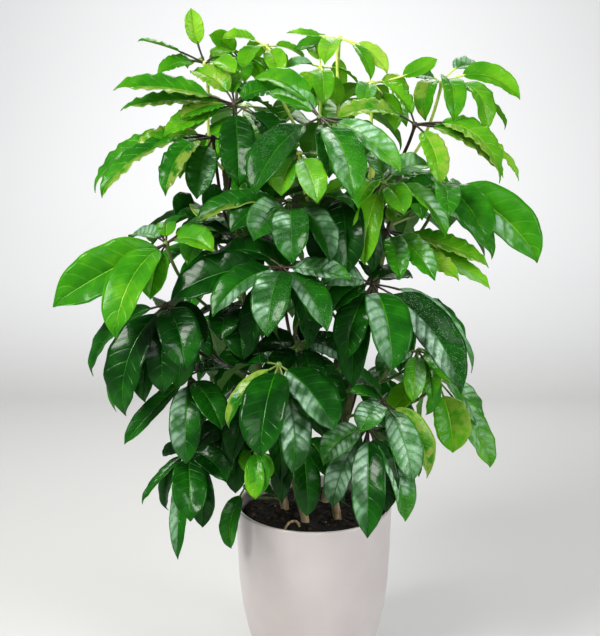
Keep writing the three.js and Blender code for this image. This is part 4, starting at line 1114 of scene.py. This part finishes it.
# How deep a blade is quilted between its side veins, as a share of its half width
SHINE_QUILT = 0.045
WAX_QUILT = 0.03
PLAIN_QUILT = 0.018
slot_of = {row["node"]: row["material_slot"] for row in frame["record"]["subparts"]}
low_corner, high_corner = (np.array(corner) for corner in cad_box)
for index, (name, (cane, height, hub_mm, leaf_tone, leaflet_stalk, leaf_stalk)) in enumerate(LEAVES.items()):
    chance = random.Random(700 + index)
    found, solid_points = leaflets_of(frame["nodes"][name])
    hub = np.array(hub_mm) / 1000
    frills = FRILLS.get(name, PLAIN_FRILL)
    blade_points, blade_faces, blade_slots, blade_uv = frilled_blade if frills > HIGH_FRILL else plain_blade
    body = ([], [], [], [])

    jobs = []
    for shape, tip in found:
        tone, words, nearest = leaf_tone, "", STANDOUT_REACH
        for reach, standout_tone, standout_words in STANDOUTS.get(name, ()):
            gap = np.linalg.norm((tip - hub) * 1000 - reach)
            if gap < nearest:
                tone, words, nearest = standout_tone, standout_words, gap
        jobs.append((form_of(hub, shape, tip), tone, words))
    for reach, width, tone, words in MORE_LEAFLETS.get(name, ()):
        jobs.append((free_form(reach, width, chance), tone, words))
    for form, tone, words in jobs:
        tone = min(1, max(0, tone + chance.uniform(-0.04, 0.04)))
        finish = finish_number(words, form[2])
        quilting = SHINE_QUILT if "shine" in words else WAX_QUILT if "wax" in words else PLAIN_QUILT
        bent, stem = leaflet_mesh(hub, form, blade_points, frills, quilting, chance)
        add(body, bent, blade_faces, blade_slots, (blade_uv + (round(tone * TONE_STEPS), finish)).tolist())
        add_stalk(body, stem, 8, LEAFLET_STALK)

    line = petiole_line(cane, height, hub_mm, solid_points)
    rings = []
    for step in range(PETIOLE_STEPS + 1):
        t = 0.985 * step / PETIOLE_STEPS
        place, heading = curve_at(line, t)
        swell = 0.0013 * math.exp(-(t / 0.05) ** 2) + 0.0018 * math.exp(-((t - 1) / 0.03) ** 2)
        rings.append((place, heading, PETIOLE_RADIUS + swell))
    place, heading = curve_at(line, 1)
    for ahead, radius in ((0.0, 0.0048), (0.0022, 0.0044), (0.0040, 0.0030), (0.0048, 0.0012)):
        rings.append((place + heading * ahead, heading, radius))
    add_stalk(body, rings, 12, PETIOLE)

    points, faces, slots, ribbons = body
    points = np.clip(np.array(points), low_corner, high_corner)
    piece = joined_mesh(name.replace("leaf_", "foliage_"), points, faces, slots)
    layer = piece.data.uv_layers.new(name="ribbon")
    layer.data.foreach_set("uv", np.array(ribbons).ravel())
    for material in (*LEAF_LOOKS[slot_of[name]], STALK_LOOKS[leaflet_stalk], STALK_LOOKS[leaf_stalk]):
        piece.data.materials.append(material)
    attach(piece, "root")
    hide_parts(name)

# Each cane ends in a soft green growing tip, a pointed sheath that holds the next leaf. It is drawn up
# ring by ring from its foot on the cane, and leans to one side.
BUD_PROFILE = [
    (0.0050, 0.0), (0.0056, 0.003), (0.0053, 0.008), (0.0042, 0.014), (0.0027, 0.020), (0.0008, 0.0255),
]
bud = drawn_up("tip_bud", BUD_PROFILE, sides=20, lean=0.0006, tilt=0.03)
bpy.ops.object.shade_smooth_by_angle(angle=SMOOTH_ANGLE)
bud.data.materials.append(STALK_LOOKS["pale"])
for name, line in CANES.items():
    place, heading = cane_point(line, 1)
    mesh = bud.data.copy()
    mesh.transform(Matrix.Translation(place) @ heading.to_track_quat("Z", "Y").to_matrix().to_4x4())
    piece = bpy.data.objects.new(name.replace("cane", "tip_bud"), mesh)
    bpy.context.scene.collection.objects.link(piece)
    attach(piece, "root")
bpy.data.objects.remove(bud)
